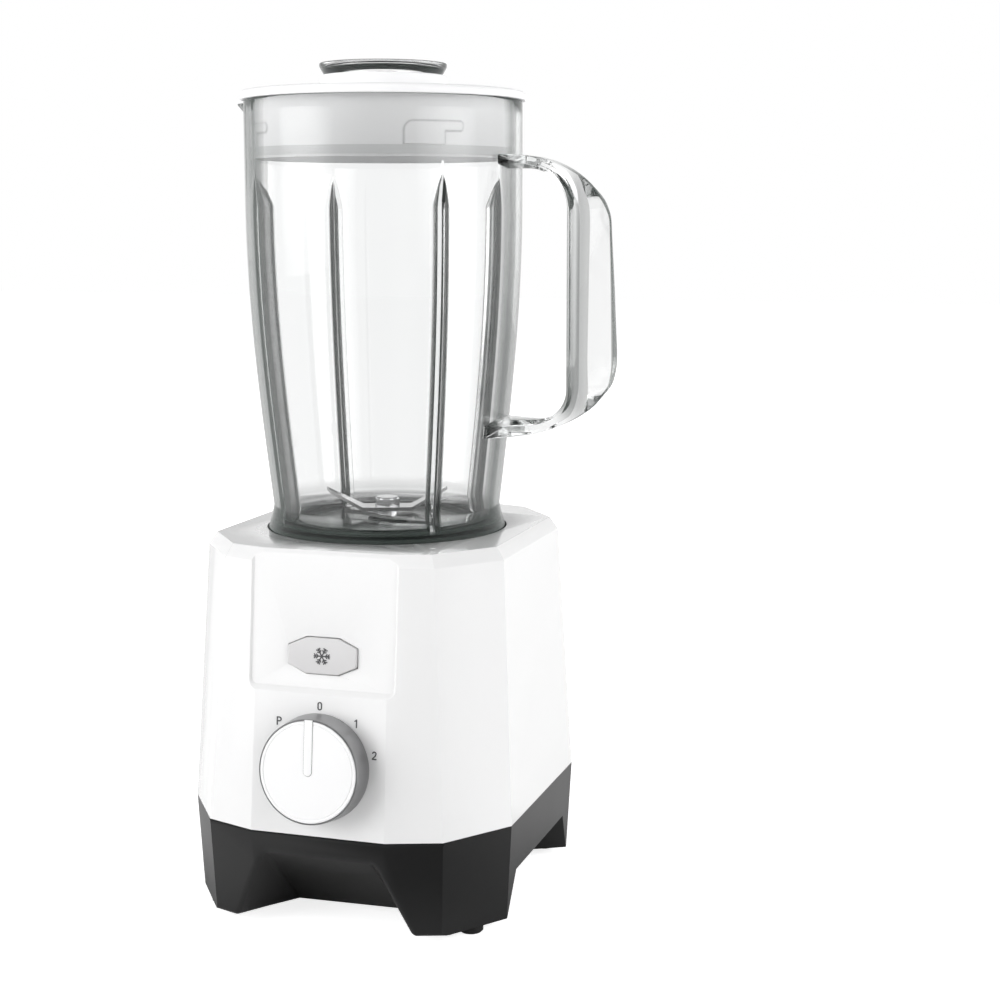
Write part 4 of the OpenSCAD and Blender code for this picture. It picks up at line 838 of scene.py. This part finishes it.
# %% The lid's surface
def lid_points():
    """The profile goes round: up the plug in fine steps, out under the disc, over its rim, over
    the collar, down its bore and down the inside of the plug. The lugs push the plug out."""
    plug = np.concatenate([np.linspace(PLUG_Z + 0.6, SEAL_Z, 4),
                           np.linspace(SEAL_TOP, RIM_Z - 0.4, 60)])
    outer = np.stack([np.full(len(plug), PLUG_R), plug], axis=1)
    top = rounded([[PLUG_R, RIM_Z], [LID_R, RIM_Z], [LID_R, LID_TOP], [COLLAR_R, LID_TOP],
                   [COLLAR_R, COLLAR_TOP], [BORE_R, COLLAR_TOP], [BORE_R, BORE_Z],
                   [BORE_R + 2, BORE_Z], [BORE_R + 2, RIM_Z], [PLUG_R - PLUG_T, RIM_Z],
                   [PLUG_R - PLUG_T, PLUG_Z], [PLUG_R, PLUG_Z]],
                  [0, 0.5, 2.6, 0.8, 1.0, 0.5, 0.4, 0.4, 0.8, 1.5, 0.6, 0.6], 4)
    line = np.concatenate([outer, top])
    angle = np.linspace(0, 2 * np.pi, LID_AROUND, endpoint=False)
    r, z = line[:, 0, None], line[:, 1, None]
    on_plug = (np.arange(len(line))[:, None] < len(plug)) & (z > SEAL_TOP)
    height, outline = lug_height(angle, z)
    return swept(r + np.where(on_plug, height, 0), angle, z), np.where(on_plug, outline, 0)


points, shade = lid_points()
lid = add_piece("lid_disc", points, grid_faces(*points.shape[:2], True, True), "lid_unit",
                lid_white, 40, shade)
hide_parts("lid")

# %% The filler cap
CAP_TOP, CAP_R = high_mm("filler_cap")[2], high_mm("filler_cap")[1]
CAP_Z, CUP_R, CAP_T = low_mm("filler_cap")[2], BORE_R - 0.4, 1.8
cap_line = rounded(
    [[NEAR_AXIS, CAP_TOP - 1.3], [CAP_R - 3.4, CAP_TOP - 1.3], [CAP_R - 2.2, CAP_TOP],
     [CAP_R, CAP_TOP], [CAP_R, CAP_TOP - 1.6], [CUP_R + 1.6, COLLAR_TOP + 0.3],
     [CUP_R, COLLAR_TOP - 0.6], [CUP_R, CAP_Z], [CUP_R - CAP_T, CAP_Z],
     [CUP_R - CAP_T, CAP_TOP - 3.1], [NEAR_AXIS, CAP_TOP - 3.1]],
    [0, 1.0, 0.6, 0.6, 0.8, 1.2, 0.4, 0.8, 0.8, 1.6, 0], 6)
cap = add_turned("cap_cup", cap_line, "cap", cap_clear, 34)
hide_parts("filler_cap")

# %% [markdown]
# ## The dial, the ice button and the marks
# The dial is a white disc with a fine lip line, in a metal sleeve that flares to the housing, and
# a raised bar marks its setting. The disc and the sleeve are turned shapes, made upright and then
# laid onto the leaning front by one mover. The ice button is a soft-edged octagon, so its solid
# only needs rounded edges. The marks beside the dial and on the button are thin solids already:
# they keep their shape and only get their print colour.

# %% The dial's disc and sleeve
DIAL_Z = JOINTS["dial_turn"]["pos_m"][2] / MM
DIAL_R, DIAL_BACK, DIAL_OUT = 23.5, 24.4, 12.3
LIP_R = DIAL_R - 2.3
lay = on_front(DIAL_Z)
face_line = rounded(
    [[NEAR_AXIS, DIAL_OUT], [LIP_R - 0.3, DIAL_OUT], [LIP_R, DIAL_OUT - 0.3],
     [LIP_R + 0.3, DIAL_OUT], [DIAL_R - 0.75, DIAL_OUT], [DIAL_R - 0.75, 1.0], [NEAR_AXIS, 1.0]],
    [0, 0.1, 0.1, 0.1, 0.5, 0, 0])
face = add_turned("dial_face", face_line, "dial", dial_white, 24, lay)
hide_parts("dial_knob")
sleeve_line = rounded(
    [[DIAL_R - 0.7, 0.35], [DIAL_BACK, 0.35], [DIAL_BACK, 1.1], [DIAL_R, DIAL_OUT - 0.5],
     [DIAL_R - 0.35, DIAL_OUT - 0.1], [DIAL_R - 0.7, DIAL_OUT - 0.4]], [0, 0, 0.3, 0.3, 0.1, 0])
sleeve = add_turned("dial_sleeve", sleeve_line, "dial", dial_metal, 30, lay)
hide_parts("dial_ring")


# %% The dial's bar and the painted shadow line round it
BAR_FOOT = DIAL_OUT - 0.1


def bar_points(half, start, end, height):
    """An upright bar with a round lower end: nested outlines, each a scaled copy of the first,
    rise from the disc and round over to a flat top."""
    t = np.linspace(np.pi, 2 * np.pi, 25)
    outline = np.concatenate([np.stack([half * np.cos(t), start + half + half * np.sin(t)], axis=1),
                              [[half, end], [-half, end]]])
    inset = np.array([0, 0, 0.1, 0.3, half * 0.98])
    level = BAR_FOOT + height * np.array([0, 0.5, 0.9, 1, 1])
    middle = np.array([0, (start + end) / 2 + half / 2])
    reach = np.array([half, (end - start) / 2])
    rings = middle + (outline - middle) * (1 - inset[:, None, None] / reach)
    return np.concatenate([rings, level[:, None, None] + 0 * rings[..., :1]], axis=-1)


def add_bar(name, half, start, end, height, finish):
    """Lays a bar onto the dial. One face closes its foot and one its top."""
    points = bar_points(half, start, end, height)
    rows, columns = points.shape[:2]
    faces = [*grid_faces(rows, columns, False, True), range(columns),
             range((rows - 1) * columns, rows * columns)]
    return add_piece(name, lay(points), faces, "dial", finish, 40)


bar = add_bar("dial_bar", 1.9, -1.6, DIAL_R - 0.2, 0.55, dial_white)
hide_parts("dial_marker")
# A thin plate in the print grey, a little wider than the bar, lies just under it: a painted shadow line round the
# bar.
add_bar("dial_bar_painted_shadow", 2.15, -1.85, DIAL_R - 0.6, 0.14, print_grey)

# %% The ice button
rounded_copy("button_cap", "ice_button", "ice", button_grey, 0.8 * MM, 4)

# %% [markdown]
# ## The set
# A pale floor and a white surround, as in a product studio. The floor reads as white where it is
# seen straight, yet it keeps the blender's shadow. In an even white room glossy facets would look
# blank, so the room is darker overhead and on the side in front of the blender, and the gloss
# shows that. Clear plastic is seen against plain white. Gloss and clear plastic see a clean floor
# without the shadow, but gloss sees the floor as it is close to the base.

# %% Camera
camera = bpy.data.objects.new("camera", bpy.data.cameras.new("camera"))
camera.data.lens = 66.38
camera.data.sensor_width = 36.0
camera.location = (0.3155, -0.8227, 0.3241)
camera.rotation_euler = (math.radians(81.171), 0.0, math.radians(17.442))
scene.collection.objects.link(camera)
scene.camera = camera
scene.view_settings.view_transform = "Standard"
print("lens in mm:", round(camera.data.lens, 2))

# %% Rays, glow and the dark side
BLACK, WHITE = grey(0.0), grey(1.0)
RAYS = {"seen": 0, "mirrored": 3, "bent": 6}
DARK_START, DARK_FULL = 0.62, 0.94
DARK_ANGLE = math.radians(33)
DARK_SIDE = (math.sin(DARK_ANGLE), -math.cos(DARK_ANGLE), 0.0)


def ray_is(tree, kind):
    """1 for a ray that is seen straight, mirrored by gloss or bent through clear plastic."""
    return add_node(tree, "ShaderNodeLightPath", result=RAYS[kind])


def near_dark_side(tree, direction):
    """Runs from 0 to 1 as a direction nears the dark side, by the cosine between them."""
    cosine = add_node(tree, "ShaderNodeVectorMath", {"operation": "DOT_PRODUCT"},
                      {0: direction, 1: DARK_SIDE}, result=1)
    return ramp(tree, cosine, DARK_START, DARK_FULL)


def glow(tree, level):
    """Light from a surface, from none at level 0 to white at level 1."""
    return add_node(tree, "ShaderNodeEmission", {}, {
        "Color": mix_colours(tree, level, BLACK, WHITE), "Strength": 1.0})


# %% Surround
surround = bpy.data.worlds.new("studio")
scene.world = surround
surround.use_nodes = True
tree = surround.node_tree
direction = add_node(tree, "ShaderNodeTexCoord", result=0)
overhead = ramp(tree, one_axis(tree, direction, 2), 0.0, 0.55)
room = mix_colours(tree, overhead, WHITE, (0.26, 0.26, 0.263, 1))
room = mix_colours(tree, near_dark_side(tree, direction), room, grey(0.10))
shown = mix_colours(tree, ray_is(tree, "seen") + ray_is(tree, "bent"), room, WHITE)
background = tree.nodes["Background"]
tree.links.new(shown.output, background.inputs["Color"])
background.inputs["Strength"].default_value = 1.0
print("surround:", surround.name, "with", len(tree.nodes), "nodes")

# %% Floor
FLOOR_HALF = 6.0
SEEN_GLOW, FLOOR_DARK, CLEAN_SHARE = 0.8, 0.9, 0.85
BASE_REACH, BASE_CLEAR = 0.09, 0.15
sides = [(-FLOOR_HALF, -FLOOR_HALF, 0), (FLOOR_HALF, -FLOOR_HALF, 0),
         (FLOOR_HALF, FLOOR_HALF, 0), (-FLOOR_HALF, FLOOR_HALF, 0)]
floor_mesh = bpy.data.meshes.new("floor")
floor_mesh.from_pydata(sides, [], [(0, 1, 2, 3)])
floor = bpy.data.objects.new("floor", floor_mesh)
scene.collection.objects.link(floor)
pale, tree, matt = new_material("pale floor", {
    "Base Color": grey(0.8), "Roughness": 0.9, "Specular IOR Level": 0.0})
place = object_coordinates(tree)
outward = add_node(tree, "ShaderNodeVectorMath", {"operation": "NORMALIZE"}, {0: place})
distance = add_node(tree, "ShaderNodeVectorMath", {"operation": "LENGTH"}, {0: place}, result=1)
past_base = ramp(tree, distance, BASE_REACH, BASE_CLEAR)
in_gloss = glow(tree, 1 - near_dark_side(tree, outward) * FLOOR_DARK)
lit = add_node(tree, "ShaderNodeAddShader", {}, [
    Socket(tree, matt.outputs[0]), glow(tree, ray_is(tree, "seen") * SEEN_GLOW)])
solid = add_node(tree, "ShaderNodeMixShader", {}, {
    0: ray_is(tree, "mirrored") * past_base * CLEAN_SHARE, 1: lit, 2: in_gloss})
total = add_node(tree, "ShaderNodeMixShader", {}, {
    0: ray_is(tree, "bent") * CLEAN_SHARE, 1: solid, 2: glow(tree, 1.0)})
tree.links.new(total.output, tree.nodes["Material Output"].inputs["Surface"])
floor_mesh.materials.append(pale)
print("floor side in metres:", 2 * FLOOR_HALF)

# %% [markdown]
# ## The lamps
# Three large softboxes light the white shell so that each facet has its own grey just under
# white. A plain area lamp is as bright at its edge as in its middle, and the jug's walls mirror
# it as a hard rectangle, so these lamps fade towards their edges.

# %% Lamps
LAMP_SIZE, LAMP_PEAK = 3.0, 2.25
AIM = np.array([0, 0, 0.15])


def softbox(name, place, power):
    """A square area lamp that looks at the blender. Its brightness over its face is
    2.25 * 16 u(1-u) v(1-v), which is 1 on average, and gloss shows the room without it."""
    lamp = bpy.data.lights.new(name, "AREA")
    lamp.size = LAMP_SIZE
    lamp.energy = power
    lamp.use_nodes = True
    tree = lamp.node_tree
    across = add_node(tree, "ShaderNodeNewGeometry", result=5)
    u, v = one_axis(tree, across, 0), one_axis(tree, across, 1)
    fade = u * (1 - u) * v * (1 - v) * 16.0
    colour = mix_colours(tree, fade, BLACK, grey(LAMP_PEAK))
    tree.links.new(colour.output, tree.nodes["Emission"].inputs["Color"])
    softbox_object = bpy.data.objects.new(name, lamp)
    scene.collection.objects.link(softbox_object)
    softbox_object.visible_glossy = False
    way = AIM - np.array(place)
    softbox_object.location = place
    softbox_object.rotation_euler = (math.atan2(math.hypot(way[0], way[1]), -way[2]), 0,
                                     math.atan2(way[1], way[0]) - math.pi / 2)
    print(name, "lamp:", power, "W")


softbox("key", (-1.95, -1.75, 1.15), 66)
softbox("side", (2.45, -0.6, 1.15), 49)
softbox("back", (0.7, 2.6, 1.15), 26)
